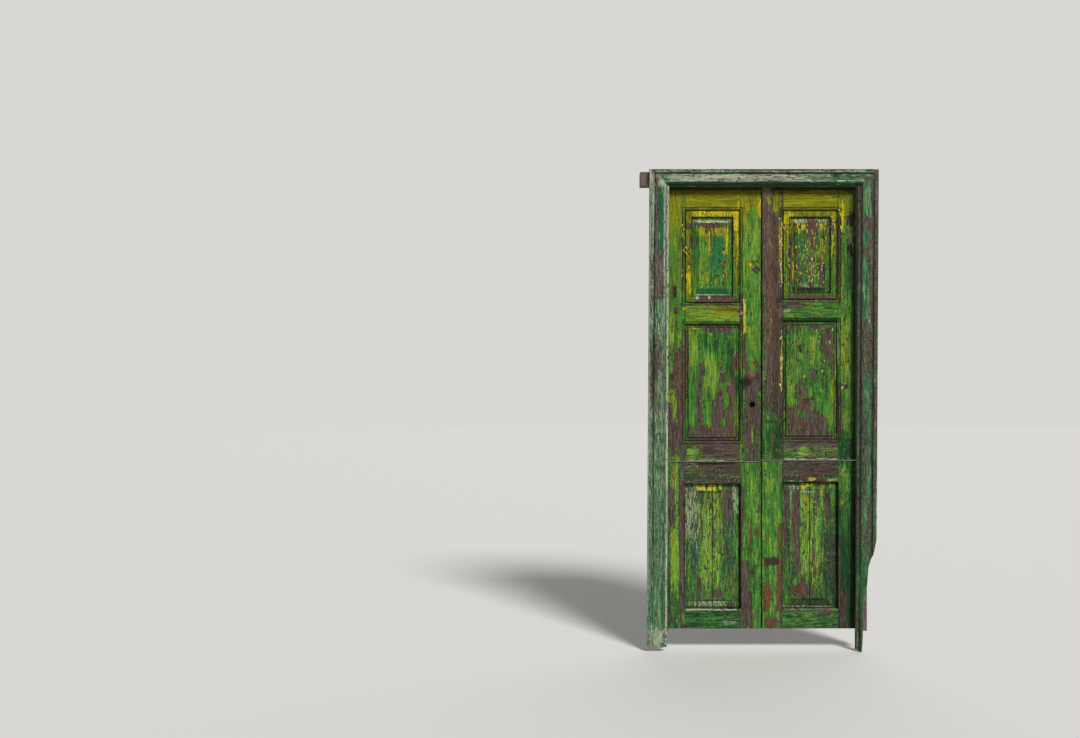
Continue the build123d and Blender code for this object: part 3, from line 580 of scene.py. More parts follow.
class PaintEffect(Effect):
    """The paint's colour: green in three tones, teal under it and yellow over it."""

    name = "paint_layers"
    streaks = Noise(12.0, 4.0, 0.62)
    specks = Noise(3.5, 3.0, 0.7)
    clouds = Noise(48.0)
    mottle = Noise(6.0, 3.0, 0.6)

    def build(self) -> None:
        """Choose the layer by how worn a place is, then mottle it."""
        graph = self.graph
        place, grain = self.take(Kind.PLACE, "Place", "Grain")
        deep, fresh, light, under, top, bright = self.take(
            Kind.COLOUR, "Deep", "Fresh", "Light", "Under", "Top", "Bright"
        )
        yellow, teal, shift = self.take(Kind.NUMBER, "Yellow", "Teal", "Shift")
        streak, speck = graph.noise(grain, self.streaks), graph.noise(place, self.specks)
        worn = streak * 0.65 + graph.noise(place, self.clouds) * 0.35
        tone = worn + shift
        colour = graph.blend(tone.fade(0.1, 0.52), deep, fresh)
        colour = graph.blend(tone.fade(0.5, 1.0), colour, light)
        colour = graph.blend((teal - worn).fade(-0.08, 0.16), colour, under)
        wear = streak * 0.6 + speck * 0.4
        gold = graph.blend(yellow.fade(1.1, 1.6), top, bright)
        colour = graph.blend((yellow - wear).fade(-0.2, 0.25), colour, gold)
        shade = (speck + graph.noise(grain, self.mottle)).ramp(0.45, 1.45, 0.38, 1.32)
        colour = graph.blend(1.0, colour, graph.grey(shade), "MULTIPLY")
        self.give(Kind.COLOUR, Color=colour)
        self.give(Kind.NUMBER, Wear=wear)


class PeelEffect(Effect):
    """Where paint has come off: what is left, a painted highlight on its curled rim and a painted
    shadow on the wood beside it.
    """

    name = "peeling"
    tears = Noise(24.0, 5.0, 0.6)
    chips = Noise(7.5, 3.0, 0.65)
    breaks = Noise(16.0, 2.0)
    cell_size = 9

    def build(self) -> None:
        """Compare how much paint a place keeps with how loose it sits there."""
        graph = self.graph
        place, grain = self.take(Kind.PLACE, "Place", "Grain")
        [cover] = self.take(Kind.NUMBER, "Cover")
        tear, chip = graph.noise(grain, self.tears), graph.noise(place, self.chips)
        inputs = {"Vector": grain, "Scale": 1 / self.cell_size}
        cells = graph.node("ShaderNodeTexVoronoi", inputs, feature="DISTANCE_TO_EDGE")
        loose = tear * 0.56 + chip * 0.5 + cells["Distance"].fade(0.02, 0.1, 0.4, 0.0)
        spare = cover - loose
        paint = spare.fade(-0.01, 0.01)
        rim = paint * spare.fade(0.01, 0.09, 1.0, 0.0)
        # A painted highlight on part of the rim, and a painted shadow on the bare wood just past
        # the paint's edge.
        lit_rim = rim * graph.noise(place, self.breaks).fade(0.3, 0.6)
        shade = (1.0 - paint) * spare.fade(-0.22, 0.0)
        self.give(Kind.NUMBER, Paint=paint, Rim=lit_rim, Shade=shade, Height=paint * 0.5 + rim)


class RustEffect(Effect):
    """Brown pitted iron with brighter rust."""

    name = "rust"
    clouds = Noise(12.0, 4.0, 0.65)
    pits = Noise(1.8, 3.0, 0.7)

    def build(self) -> None:
        """Lay rust and pits over iron."""
        graph = self.graph
        [place] = self.take(Kind.PLACE, "Place")
        iron, rust = self.take(Kind.COLOUR, "Iron", "Rust")
        cloud, pit = graph.noise(place, self.clouds), graph.noise(place, self.pits)
        colour = graph.blend(cloud.fade(0.35, 0.8), iron, rust)
        colour = graph.blend(pit.fade(0.5, 0.1, 0.0, 0.7), colour, PIT)
        self.give(Kind.COLOUR, Color=colour)
        self.give(Kind.NUMBER, Height=cloud + pit * 0.6)


def rect_of(node: str) -> Rect:
    """The rectangle of a node on the door's face, in millimetres."""
    low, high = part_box(node)
    return low.x / MM, high.x / MM, low.z / MM, high.z / MM


def grown(rect: Rect, by: float) -> Rect:
    """A rectangle with its edges moved outwards, or inwards by less than nothing."""
    return rect[0] - by, rect[1] + by, rect[2] - by, rect[3] + by


def dress(node: str, material: Material) -> None:
    """Put a material on every slot of a CAD node.

    Args:
        node: The node.
        material: What it gets.
    """
    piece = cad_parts[node]
    if not piece.material_slots:
        piece.data.materials.append(material)
    for place in piece.material_slots:
        place.material = material
    log.info("dressed %s", node)


class Workshop:
    """Makes the materials, each for the place of the piece that it dresses."""

    patch_tears, patch_chips = Noise(13.0, 4.0, 0.6), Noise(16.0, 3.0, 0.65)
    patch_ragged, line_ragged = 0.75, 0.4
    waver, waver_size = 2.5, 18
    chalk, grime = Noise(4.0, 4.0, 0.7), Noise(30.0, 5.0, 0.7)
    # The least paint cover, and the most that grime and painted shade darken a place.
    least_cover, most_dirt = 0.1, 0.92
    # How strongly the painted highlight and the painted shadow at the paint's edges show.
    rim_highlight_share = shade_share = 0.85
    rough_wood, rough_paint = 0.9, 0.62
    paint_relief, wood_relief = 1.6, 1.3
    flake_clouds = Noise(7.0, 3.0, 0.65)
    peg_clouds, peg_chips = Noise(9.0), Noise(3.0, 3.0, 0.7)
    peg_yellow_from, peg_yellow_to = 1700, 2000

    def __init__(self) -> None:
        """Make the shared effects."""
        self.spot, self.rect, self.wood = SpotEffect(), RectEffect(), WoodEffect()
        self.paint, self.peel, self.rust = PaintEffect(), PeelEffect(), RustEffect()
        self.made: dict[str, Material] = {}

    @staticmethod
    def start(name: str) -> tuple[Material, Graph, bpy.types.Node]:
        """Make an empty material.

        Args:
            name: The material's name.

        Returns:
            The material, a graph on its nodes, and its Principled BSDF.
        """
        material = bpy.data.materials.new(name)
        material.use_nodes = True
        return material, Graph(material.node_tree), material.node_tree.nodes["Principled BSDF"]

    @staticmethod
    def place(graph: Graph) -> Wire:
        """Object coordinates, in millimetres."""
        coordinates = graph.node("ShaderNodeTexCoord", {})
        return graph.vector("SCALE", coordinates["Object"], None, None, 1 / MM)

    def ragged(self, graph: Graph, place: Wire) -> Wire:
        """Shift a place by noise, so that lines on it waver.

        Args:
            graph: The material's graph.
            place: The place, in millimetres.

        Returns:
            The shifted place.
        """
        inputs = {"Vector": place, "Scale": 1 / self.waver_size, "Detail": 2}
        noise = graph.node("ShaderNodeTexNoise", inputs)
        centred = graph.vector("SUBTRACT", noise["Color"], (0.5, 0.5, 0.5))
        return graph.vector("ADD", place, graph.vector("SCALE", centred, None, None, self.waver))

    @staticmethod
    def plumb(graph: Graph, place: Wire, lean: float) -> Wire:
        """Set a leaning board's place upright, as it stands at the head.

        Args:
            graph: The material's graph.
            place: The place, in millimetres.
            lean: How far it goes outwards for each millimetre down.

        Returns:
            The upright place.
        """
        x, y, z = graph.split(place)
        return graph.add("ShaderNodeCombineXYZ", x + (HEAD_TOP - z) * lean, y, z)

    def levels(
        self, graph: Graph, board: Board, place: Wire, rect: Rect, wear: Wear
    ) -> dict[Channel, Wire]:
        """Work out every channel of wear and painted shade over a board.

        Args:
            graph: The material's graph.
            board: The board's finish.
            place: The place on the board, in millimetres.
            rect: The board's rectangle.
            wear: The patches of wear and painted shade near the board.

        Returns:
            A value for each channel.
        """
        grain = graph.vector("MULTIPLY", place, board.grain.value)
        tears, chips = graph.noise(grain, self.patch_tears), graph.noise(place, self.patch_chips)
        mixed, reaches = tears * 0.6 + chips * 0.4, (self.patch_ragged, self.line_ragged)
        broad, fine = (mixed.ramp(0.0, 1.0, -reach, reach) for reach in reaches)
        tears = {Form.OVAL: broad, Form.BLOCK: broad, Form.LINE: fine}
        height = graph.split(place)[2]
        found: dict[Channel, Wire] = {}
        for channel in Channel:
            value = height.ramp(rect[2], rect[3], *board.levels(channel))
            for patch in wear.get(channel, ()):
                if patch.touches(rect):
                    spot = graph.effect(
                        self.spot,
                        Place=place,
                        Centre_X=(patch.left + patch.right) / 2,
                        Centre_Z=(patch.bottom + patch.top) / 2,
                        Half_Width=(patch.right - patch.left) / 2,
                        Half_Height=(patch.top - patch.bottom) / 2,
                        Square=0.0 if patch.form is Form.OVAL else 1.0,
                        Tear=tears[patch.form],
                    )
                    value = value + spot["Mask"] * patch.amount
            found[channel] = value
        return found

    def crease(self, graph: Graph, place: Wire, crease: Crease) -> Wire:
        """The mask of a dark line along a rectangle's edge: a dark joint, or painted shade in a
        recess.

        Args:
            graph: The material's graph.
            place: The place, in millimetres.
            crease: The line.

        Returns:
            The mask.
        """
        left, right, bottom, top = crease.rect
        edge = graph.effect(self.rect, Place=place, Left=left, Right=right, Bottom=bottom, Top=top)
        outer = crease.half * 1.6 + 1.4
        return abs(edge["Distance"]).fade(crease.half, outer, crease.depth, 0.0)

    def board(self, board: Board, wear: Wear, creases: tuple[Crease, ...]) -> Material:
        """Make the material of one board.

        Args:
            board: Its finish.
            wear: The patches of wear and painted shade near it.
            creases: The dark lines near it: dark joints, and painted shade in recesses.

        Returns:
            The material.
        """
        material, graph, shader = self.start(f"{board.node}_paint")
        place = self.place(graph)
        grain = graph.vector("MULTIPLY", place, board.grain.value)
        upright = self.plumb(graph, place, board.lean) if board.lean else place
        level = self.levels(graph, board, upright, rect_of(board.node), wear)
        coat = board.coat
        wood = graph.effect(
            self.wood,
            Grain=grain,
            Light=coat.wood,
            Dark=coat.wood_dark,
            Reddish=coat.wood_red,
            Red=level[Channel.RED],
        )
        paint = graph.effect(
            self.paint,
            Place=place,
            Grain=grain,
            Deep=coat.deep,
            Fresh=coat.fresh,
            Light=coat.light,
            Under=coat.under,
            Top=coat.top,
            Bright=coat.bright,
            Yellow=level[Channel.YELLOW],
            Teal=level[Channel.TEAL],
            Shift=level[Channel.LIGHT],
        )
        size = (board.flake, board.flake, board.flake)
        peel = graph.effect(
            self.peel,
            Place=graph.vector("DIVIDE", place, size),
            Grain=graph.vector("DIVIDE", grain, size),
            Cover=level[Channel.COVER].above(self.least_cover),
        )
        chalk = (level[Channel.PALE] - graph.noise(grain, self.chalk)).fade(-0.25, 0.35)
        coated = graph.blend(chalk, paint["Color"], coat.pale)
        colour = graph.blend(peel["Paint"], wood["Color"], coated)
        # Painted highlight on the curled rims of the paint, and painted shadow beside them.
        colour = graph.blend(peel["Rim"] * self.rim_highlight_share, colour, coat.rim)
        colour = graph.blend(peel["Shade"] * self.shade_share, colour, EDGE_SHADOW)
        # Grime and dark patches, dark joints, and painted shade: painted shadows under the head
        # casing and beside the right casing, and shade lines along mouldings, strips and fields.
        dirt = level[Channel.DARK] + graph.noise(grain, self.grime).fade(0.6, 1.1, 0.0, 0.5)
        wavering = self.ragged(graph, place)
        for crease in creases:
            dirt = dirt.above(self.crease(graph, wavering, crease))
        colour = graph.blend(dirt.below(self.most_dirt), colour, DIRT_AND_SHADE)
        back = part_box(board.node)[1].y / MM - INNER_SKIN
        inside = graph.split(place)[1].fade(back - INNER_SKIN, back)
        faded = paint["Wear"].fade(0.35, 0.6) * 0.8
        colour = graph.blend(inside, colour, graph.blend(faded, wood["Color"], INNER_PAINT))
        graph.feed(shader.inputs["Base Color"], colour)
        rough = peel["Paint"].ramp(0.0, 1.0, self.rough_wood, self.rough_paint)
        graph.feed(shader.inputs["Roughness"], rough)
        shader.inputs["Specular IOR Level"].default_value = 0.14
        relief = peel["Height"] * self.paint_relief * (1.0 - inside)
        height = relief + wood["Height"] * self.wood_relief
        graph.bump(shader, height, distance=1.0, strength=1.0)
        return material

    def curl(self, curl: Curl) -> Material:
        """Make the paint of curled flakes, once.

        Args:
            curl: Which paint.

        Returns:
            The material.
        """
        paint, dark, light = curl.value
        if paint not in self.made:
            material, graph, shader = self.start(f"flake_{paint}")
            cloud = graph.noise(self.place(graph), self.flake_clouds)
            graph.feed(shader.inputs["Base Color"], graph.blend(cloud.fade(0.1, 0.9), dark, light))
            shader.inputs["Roughness"].default_value = 0.6
            self.made[paint] = material
        return self.made[paint]

    def peg(self, coat: Coat, name: str) -> Material:
        """Make the worn paint on the ends of the draw-bore pegs.

        Args:
            coat: The paint of their leaf.
            name: The material's name.

        Returns:
            The material, yellower towards the head of the door.
        """
        material, graph, shader = self.start(name)
        place = self.place(graph)
        cloud = graph.noise(place, self.peg_clouds).fade(0.2, 0.8)
        high = graph.split(place)[2].fade(self.peg_yellow_from, self.peg_yellow_to)
        colour = graph.blend(high, graph.blend(cloud, coat.deep, coat.fresh), coat.top)
        chips = graph.noise(place, self.peg_chips).fade(0.45, 0.6)
        graph.feed(shader.inputs["Base Color"], graph.blend(chips, colour, coat.wood_dark))
        shader.inputs["Roughness"].default_value = 0.7
        return material

    def iron(self) -> Material:
        """Make the rusted iron of the knob, the lock, the hinges and the bolts, once.

        Returns:
            The material.
        """
        if "iron" not in self.made:
            material, graph, shader = self.start("old_iron")
            rust = graph.effect(self.rust, Place=self.place(graph), Iron=IRON, Rust=RUST)
            graph.feed(shader.inputs["Base Color"], rust["Color"])
            shader.inputs["Roughness"].default_value = 0.72
            shader.inputs["Metallic"].default_value = 0.25
            graph.bump(shader, rust["Height"], distance=0.4, strength=0.5)
            self.made["iron"] = material
        return self.made["iron"]


def deselect() -> None:
    """Leave nothing selected, so that an operator acts on the next piece alone."""
    bpy.ops.object.select_all(action="DESELECT")


def apply_place() -> None:
    """Put the place, turn and size of what is selected into its mesh."""
    bpy.ops.object.transform_apply(location=True, rotation=True, scale=True)


def named(name: str) -> Piece:
    """Name the object that an operator has just made, and return it."""
    bpy.context.object.name = bpy.context.object.data.name = name
    return bpy.context.object


def settle(piece: Piece) -> None:
    """Apply an object's modifiers and its transform.

    Args:
        piece: The object.
    """
    deselect()
    piece.select_set(True)
    bpy.context.view_layer.objects.active = piece
    for modifier in list(piece.modifiers):
        bpy.ops.object.modifier_apply(modifier=modifier.name)
    apply_place()


def merge(pieces: list[Piece], name: str) -> Piece:
    """Join objects into one, smooth but for its sharp edges.

    Args:
        pieces: The objects, each with its own mesh.
        name: The name of the joined object.

    Returns:
        The joined object, at the origin.
    """
    deselect()
    for piece in pieces:
        piece.select_set(True)
    bpy.context.view_layer.objects.active = pieces[0]
    bpy.ops.object.join()
    apply_place()
    bpy.ops.object.shade_smooth_by_angle(angle=SMOOTH_BELOW)
    return named(name)


def copy_of(master: Piece, spot: Vector, turn: Euler, size: Vector) -> Piece:
    """Copy an object with its own mesh to another place.

    Args:
        master: The object.
        spot: Where the copy goes, in metres.
        turn: How it is turned.
        size: How it is scaled.

    Returns:
        The copy.
    """
    copy = master.copy()
    copy.data = master.data.copy()
    copy.location, copy.rotation_euler, copy.scale = spot, turn, size
    bpy.context.collection.objects.link(copy)
    return copy


def face_at(nodes: tuple[str, ...], x: float, z: float, front: bool = True) -> float | None:
    """Find the surface of some CAD nodes at a place on the door.

    Args:
        nodes: The nodes.
        x: Across, in millimetres.
        z: Up, in millimetres.
        front: Whether to look from the street.

    Returns:
        The y of the nearest surface in millimetres, or None where there is none.
    """
    side = -1.0 if front else 1.0
    eye, look = Vector((x * MM, side, z * MM)), Vector((0, -side, 0))
    found = []
    for node in nodes:
        hit, spot, _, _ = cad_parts[node].ray_cast(eye, look)
        if hit:
            found.append(spot.y / MM)
    if not found:
        return None
    return min(found) if front else max(found)


@dataclass
class Flakes:
    """Paint that has curled off a leaf, with the size in millimetres of a flake of full length."""

    name: str
    body: str
    slot: str
    nodes: tuple[str, ...]
    flurries: tuple[Flurry, ...]
    seed: int
    width: float = 8.0
    length: float = 20.0
    thickness: float = 0.5
    ragged_across: float = 7.0
    ragged_along: float = 12.0
    lift: float = 1.4
    tilt: float = 14.0
    sizes: Pair = (0.35, 1.0)
    widths: Pair = (0.55, 1.0)
    lengths: Pair = (0.6, 1.3)
    bends: tuple[float, ...] = (70.0, 110.0, 150.0, -85.0)

    def build_master(self, bend: float, number: int) -> Piece:
        """Make one thin curled flake with a ragged outline.

        Args:
            bend: How far it curls, in degrees.
            number: Its number, which sets its outline.

        Returns:
            The flake, with its middle at the origin.
        """
        deselect()
        bpy.ops.mesh.primitive_grid_add(x_subdivisions=5, y_subdivisions=4, size=1.0)
        flake = named(f"{self.name}_master_{number}")
        flake.scale = (self.width * MM, self.length * MM, 1.0)
        bpy.ops.object.transform_apply(location=False, rotation=False, scale=True)
        cloud = bpy.data.textures.new(f"{self.name}_edge_{number}", "CLOUDS")
        cloud.noise_scale = (4.0 + 1.2 * number) * MM
        taper = flake.modifiers.new("taper", "SIMPLE_DEFORM")
        taper.deform_method, taper.deform_axis, taper.factor = "TAPER", "Y", 0.9
        for axis, reach in (("X", self.ragged_across), ("Y", self.ragged_along)):
            rough = flake.modifiers.new("rough", "DISPLACE")
            rough.texture, rough.direction, rough.strength = cloud, axis, reach * MM
            rough.mid_level = 0.5
        for method, angle in (("TWIST", bend / 3), ("BEND", bend)):
            turned = flake.modifiers.new(method.lower(), "SIMPLE_DEFORM")
            turned.deform_method, turned.deform_axis = method, "Y"
            turned.angle = math.radians(angle)
        shell = flake.modifiers.new("shell", "SOLIDIFY")
        shell.thickness, shell.offset, shell.material_offset = self.thickness * MM, 0.0, 1
        settle(flake)
        return flake

    def build(self, shop: Workshop) -> None:
        """Scatter the flakes over the leaf and join them.

        Args:
            shop: Makes their materials.
        """
        draw = random.Random(self.seed)
        masters = [self.build_master(bend, number) for number, bend in enumerate(self.bends)]
        made = []
        for flurry in self.flurries:
            for _ in range(flurry.count):
                x = draw.uniform(flurry.left, flurry.right)
                z = draw.uniform(flurry.bottom, flurry.top)
                depth = face_at(self.nodes, x, z)
                if depth is None:
                    continue
                size = flurry.length / self.length * draw.uniform(*self.sizes)
                tilt, flip = math.radians(draw.gauss(0, self.tilt)), draw.choice((0, 0, 180))
                master = draw.choice(masters)
                wide = size * draw.uniform(*self.widths)
                long = size * draw.uniform(*self.lengths)
                spot = Vector((x, depth - self.lift * size, z)) * MM
                turn = Euler((SQUARE_ON, tilt, math.radians(flip)))
                copy = copy_of(master, spot, turn, Vector((wide, long, size)))
                back = draw.choice((Curl.CREAM, Curl.YELLOW, flurry.curl))
                copy.data.materials.clear()
                copy.data.materials.append(shop.curl(flurry.curl))
                copy.data.materials.append(shop.curl(back))
                made.append(copy)
        for master in masters:
            bpy.data.objects.remove(master)
        flakes = merge(made, self.name)
        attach(flakes, self.body)
        log.info("built %s: %d flakes", self.name, len(made))


@dataclass
class Studs:
    """Small round fasteners of one kind on one body, sized in millimetres.

    The rounding of the rim and the depth of a screw's slot are shares of how proud it stands.
    """

    name: str
    body: str
    slot: str
    nodes: tuple[str, ...]
    spots: tuple[tuple[float, float], ...]
    radius: float
    proud: float
    front: bool = True
    slotted: bool = False
    sunk: float = 1.5
    sides: int = 14
    rounding: float = 0.45
    slot_width: float = 1.0
    slot_depth: float = 0.9
    turn_step: float = 37.0

    def build_master(self) -> Piece:
        """Make one stud along the y axis.

        Returns:
            The stud, with a rounded rim and, on a screw, its slot.
        """
        depth = self.proud + self.sunk
        deselect()
        bpy.ops.mesh.primitive_cylinder_add(
            vertices=self.sides,
            radius=self.radius * MM,
            depth=depth * MM,
            rotation=(SQUARE_ON, 0, 0),
        )
        stud = named(f"{self.name}_master")
        apply_place()
        rim = stud.modifiers.new("rim", "BEVEL")
        rim.width = min(self.proud, self.radius) * self.rounding * MM
        rim.segments, rim.limit_method = 2, "ANGLE"
        if self.slotted:
            deselect()
            bpy.ops.mesh.primitive_cube_add(size=1.0, location=(0, (depth / 2) * MM, 0))
            cutter = named(f"{self.name}_cutter")
            deep = self.proud * self.slot_depth
            cutter.scale = (self.radius * 2.4 * MM, deep * MM, self.slot_width * MM)
            apply_place()
            cut = stud.modifiers.new("cut", "BOOLEAN")
            cut.object, cut.operation, cut.solver = cutter, "DIFFERENCE", "EXACT"
            settle(stud)
            bpy.data.objects.remove(cutter)
        else:
            settle(stud)
        return stud

    def build(self, material: Material) -> None:
        """Set a stud at every spot and join them.

        Args:
            material: Their material.
        """
        master = self.build_master()
        made = []
        depth = self.proud + self.sunk
        sign = -1.0 if self.front else 1.0
        for number, (x, z) in enumerate(self.spots):
            face = face_at(self.nodes, x, z, self.front)
            if face is None:
                log.info("%s: nothing to hold the one at %s, %s", self.name, x, z)
                continue
            middle = face + sign * (self.proud - depth / 2)
            turn = Euler((0, math.radians(self.turn_step * number), 0))
            made.append(copy_of(master, Vector((x, middle, z)) * MM, turn, Vector((1, 1, 1))))
        bpy.data.objects.remove(master)
        studs = merge(made, self.name)
        studs.data.materials.clear()
        studs.data.materials.append(material)
        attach(studs, self.body)
        log.info("built %s: %d pieces", self.name, len(made))


@dataclass
class Leaf:
    """One leaf of the door, dressed board by board, with its flakes and its pegs."""

    name: str
    slot: str
    coat: Coat
    boards: tuple[Board, ...]
    wear: Wear
    creases: tuple[Crease, ...]
    flurries: tuple[Flurry, ...]
    seed: int
    pegs: tuple[tuple[float, float], ...]
    peg_proud: float
    peg_radius: float = 6.5

    def __post_init__(self) -> None:
        """Give every board its full name and the leaf's paint."""
        self.boards = tuple(
            replace(board, node=f"{self.name}_{board.node}", coat=self.coat)
            for board in self.boards
        )

    def nodes(self) -> tuple[str, ...]:
        """The names of its boards."""
        return tuple(board.node for board in self.boards)

    def dress(self, shop: Workshop) -> None:
        """Give every board of the leaf its own finish.

        Args:
            shop: Makes the materials.
        """
        for board in self.boards:
            edge = (Crease(rect_of(board.node), 0.8, 0.85),)
            dress(board.node, shop.board(board, self.wear, edge + self.creases))

    def build_flakes(self, shop: Workshop) -> None:
        """Scatter its curled paint.

        Args:
            shop: Makes the materials.
        """
        name, body = f"{self.name}_flakes", f"{self.name}_leaf"
        Flakes(name, body, self.slot, self.nodes(), self.flurries, self.seed).build(shop)

    def build_pegs(self, shop: Workshop) -> None:
        """Set the pegs of its joints.

        Args:
            shop: Makes their material.
        """
        name, body = f"{self.name}_pegs", f"{self.name}_leaf"
        size = (self.peg_radius, self.peg_proud)
        pegs = Studs(name, body, self.slot, self.nodes(), self.pegs, *size)
        pegs.build(shop.peg(self.coat, f"{name}_paint"))


def moulded(small: Rect, large: Rect) -> tuple[Crease, ...]:
    """The painted shade lines of an upper leaf: mouldings, strips and raised fields.

    Args:
        small: The opening of the small panel.
        large: The opening of the large panel.

    Returns:
        The lines.
    """
    return (
        Crease(grown(small, MOULDING), 1.0, 0.8),
        Crease(small, 1.4, 0.9),
        Crease(grown(small, -STRIP), 1.8, 0.8),
        Crease(grown(small, -SMALL_FIELD), 0.8, 0.6),
        Crease(grown(large, MOULDING), 1.0, 0.8),
        Crease(large, 1.6, 0.9),
        Crease(grown(large, -LARGE_FIELD), 1.2, 0.7),
    )


@dataclass(frozen=True)
class Lamp:
    """A large soft lamp: strength, and in degrees its spread, height and turn from the front."""

    name: str
    strength: float
    spread: float
    height: float
    turn: float

    def build(self) -> None:
        """Hang the lamp."""
        bpy.ops.object.light_add(type="SUN", location=(0.0, 0.0, 4.0))
        lamp = bpy.context.object
        lamp.name = self.name
        lamp.data.energy = self.strength
        lamp.data.angle = math.radians(self.spread)
        up, turn = math.radians(self.height), math.radians(self.turn)
        level = math.cos(up)
        towards = Vector((-math.sin(turn) * level, math.cos(turn) * level, -math.sin(up)))
        lamp.rotation_euler = towards.to_track_quat("-Z", "Y").to_euler()


@dataclass
class Studio:
    """Floor, lamps, sky and camera."""

    floor_z: float = -0.094
    floor_side: float = 40.0
    eye: tuple[float, float, float] = (-1.05, -5.098, 1.236)
    lens: float = 36.0
    sensor: float = 36.0
    lamps: tuple[Lamp, ...] = (
        Lamp("key", 3.14, 16.0, 43.0, 27.0),
        Lamp("behind", 0.9, 70.0, 35.0, 155.0),
    )
    sky: float = 0.15

    def build_camera(self) -> None:
        """Stand the camera where the photograph was taken, level and straight ahead."""
        bpy.ops.object.camera_add(location=self.eye, rotation=(SQUARE_ON, 0, 0))
        camera = bpy.context.object
        camera.data.lens = self.lens
        camera.data.sensor_width = self.sensor
        bpy.context.scene.camera = camera

    def build_lights(self) -> None:
        """Hang the key lamp and the weak one behind, under a dim sky that looks pale."""
        for lamp in self.lamps:
            lamp.build()
        world = bpy.data.worlds.new("sky")
        world.use_nodes = True
        graph = Graph(world.node_tree)
        path = graph.node("ShaderNodeLightPath", {})
        direct = path["Is Camera Ray"] + path["Is Glossy Ray"]
        seen = graph.add(
            "ShaderNodeMath", direct, path["Is Transmission Ray"], operation="ADD", use_clamp=True
        )
        background = world.node_tree.nodes["Background"]
        graph.feed(background.inputs["Color"], graph.blend(seen, WHITE, BACKDROP))
        graph.feed(background.inputs["Strength"], seen.ramp(0.0, 1.0, self.sky, 1.0))
        bpy.context.scene.world = world

    def build_floor(self) -> None:
        """Lay a flat pale floor."""
        deselect()
        bpy.ops.mesh.primitive_plane_add(size=self.floor_side, location=(0.0, 0.0, self.floor_z))
        floor = named("floor")
        apply_place()
        material, _, shader = Workshop.start("pale_floor")
        shader.inputs["Base Color"].default_value = FLOOR
        shader.inputs["Roughness"].default_value = 0.95
        shader.inputs["Specular IOR Level"].default_value = 0.2
        floor.data.materials.append(material)

    def build(self) -> None:
        """Set up the whole studio."""
        self.build_floor()
        self.build_lights()
        self.build_camera()
        bpy.context.scene.view_settings.view_transform = "Standard"


UP, LEVEL = Grain.UPRIGHT, Grain.LEVEL
COVER, YELLOW, LIGHT, TEAL = Channel.COVER, Channel.YELLOW, Channel.LIGHT, Channel.TEAL
DARK, RED, PALE = Channel.DARK, Channel.RED, Channel.PALE
BLOCK, LINE = Form.BLOCK, Form.LINE
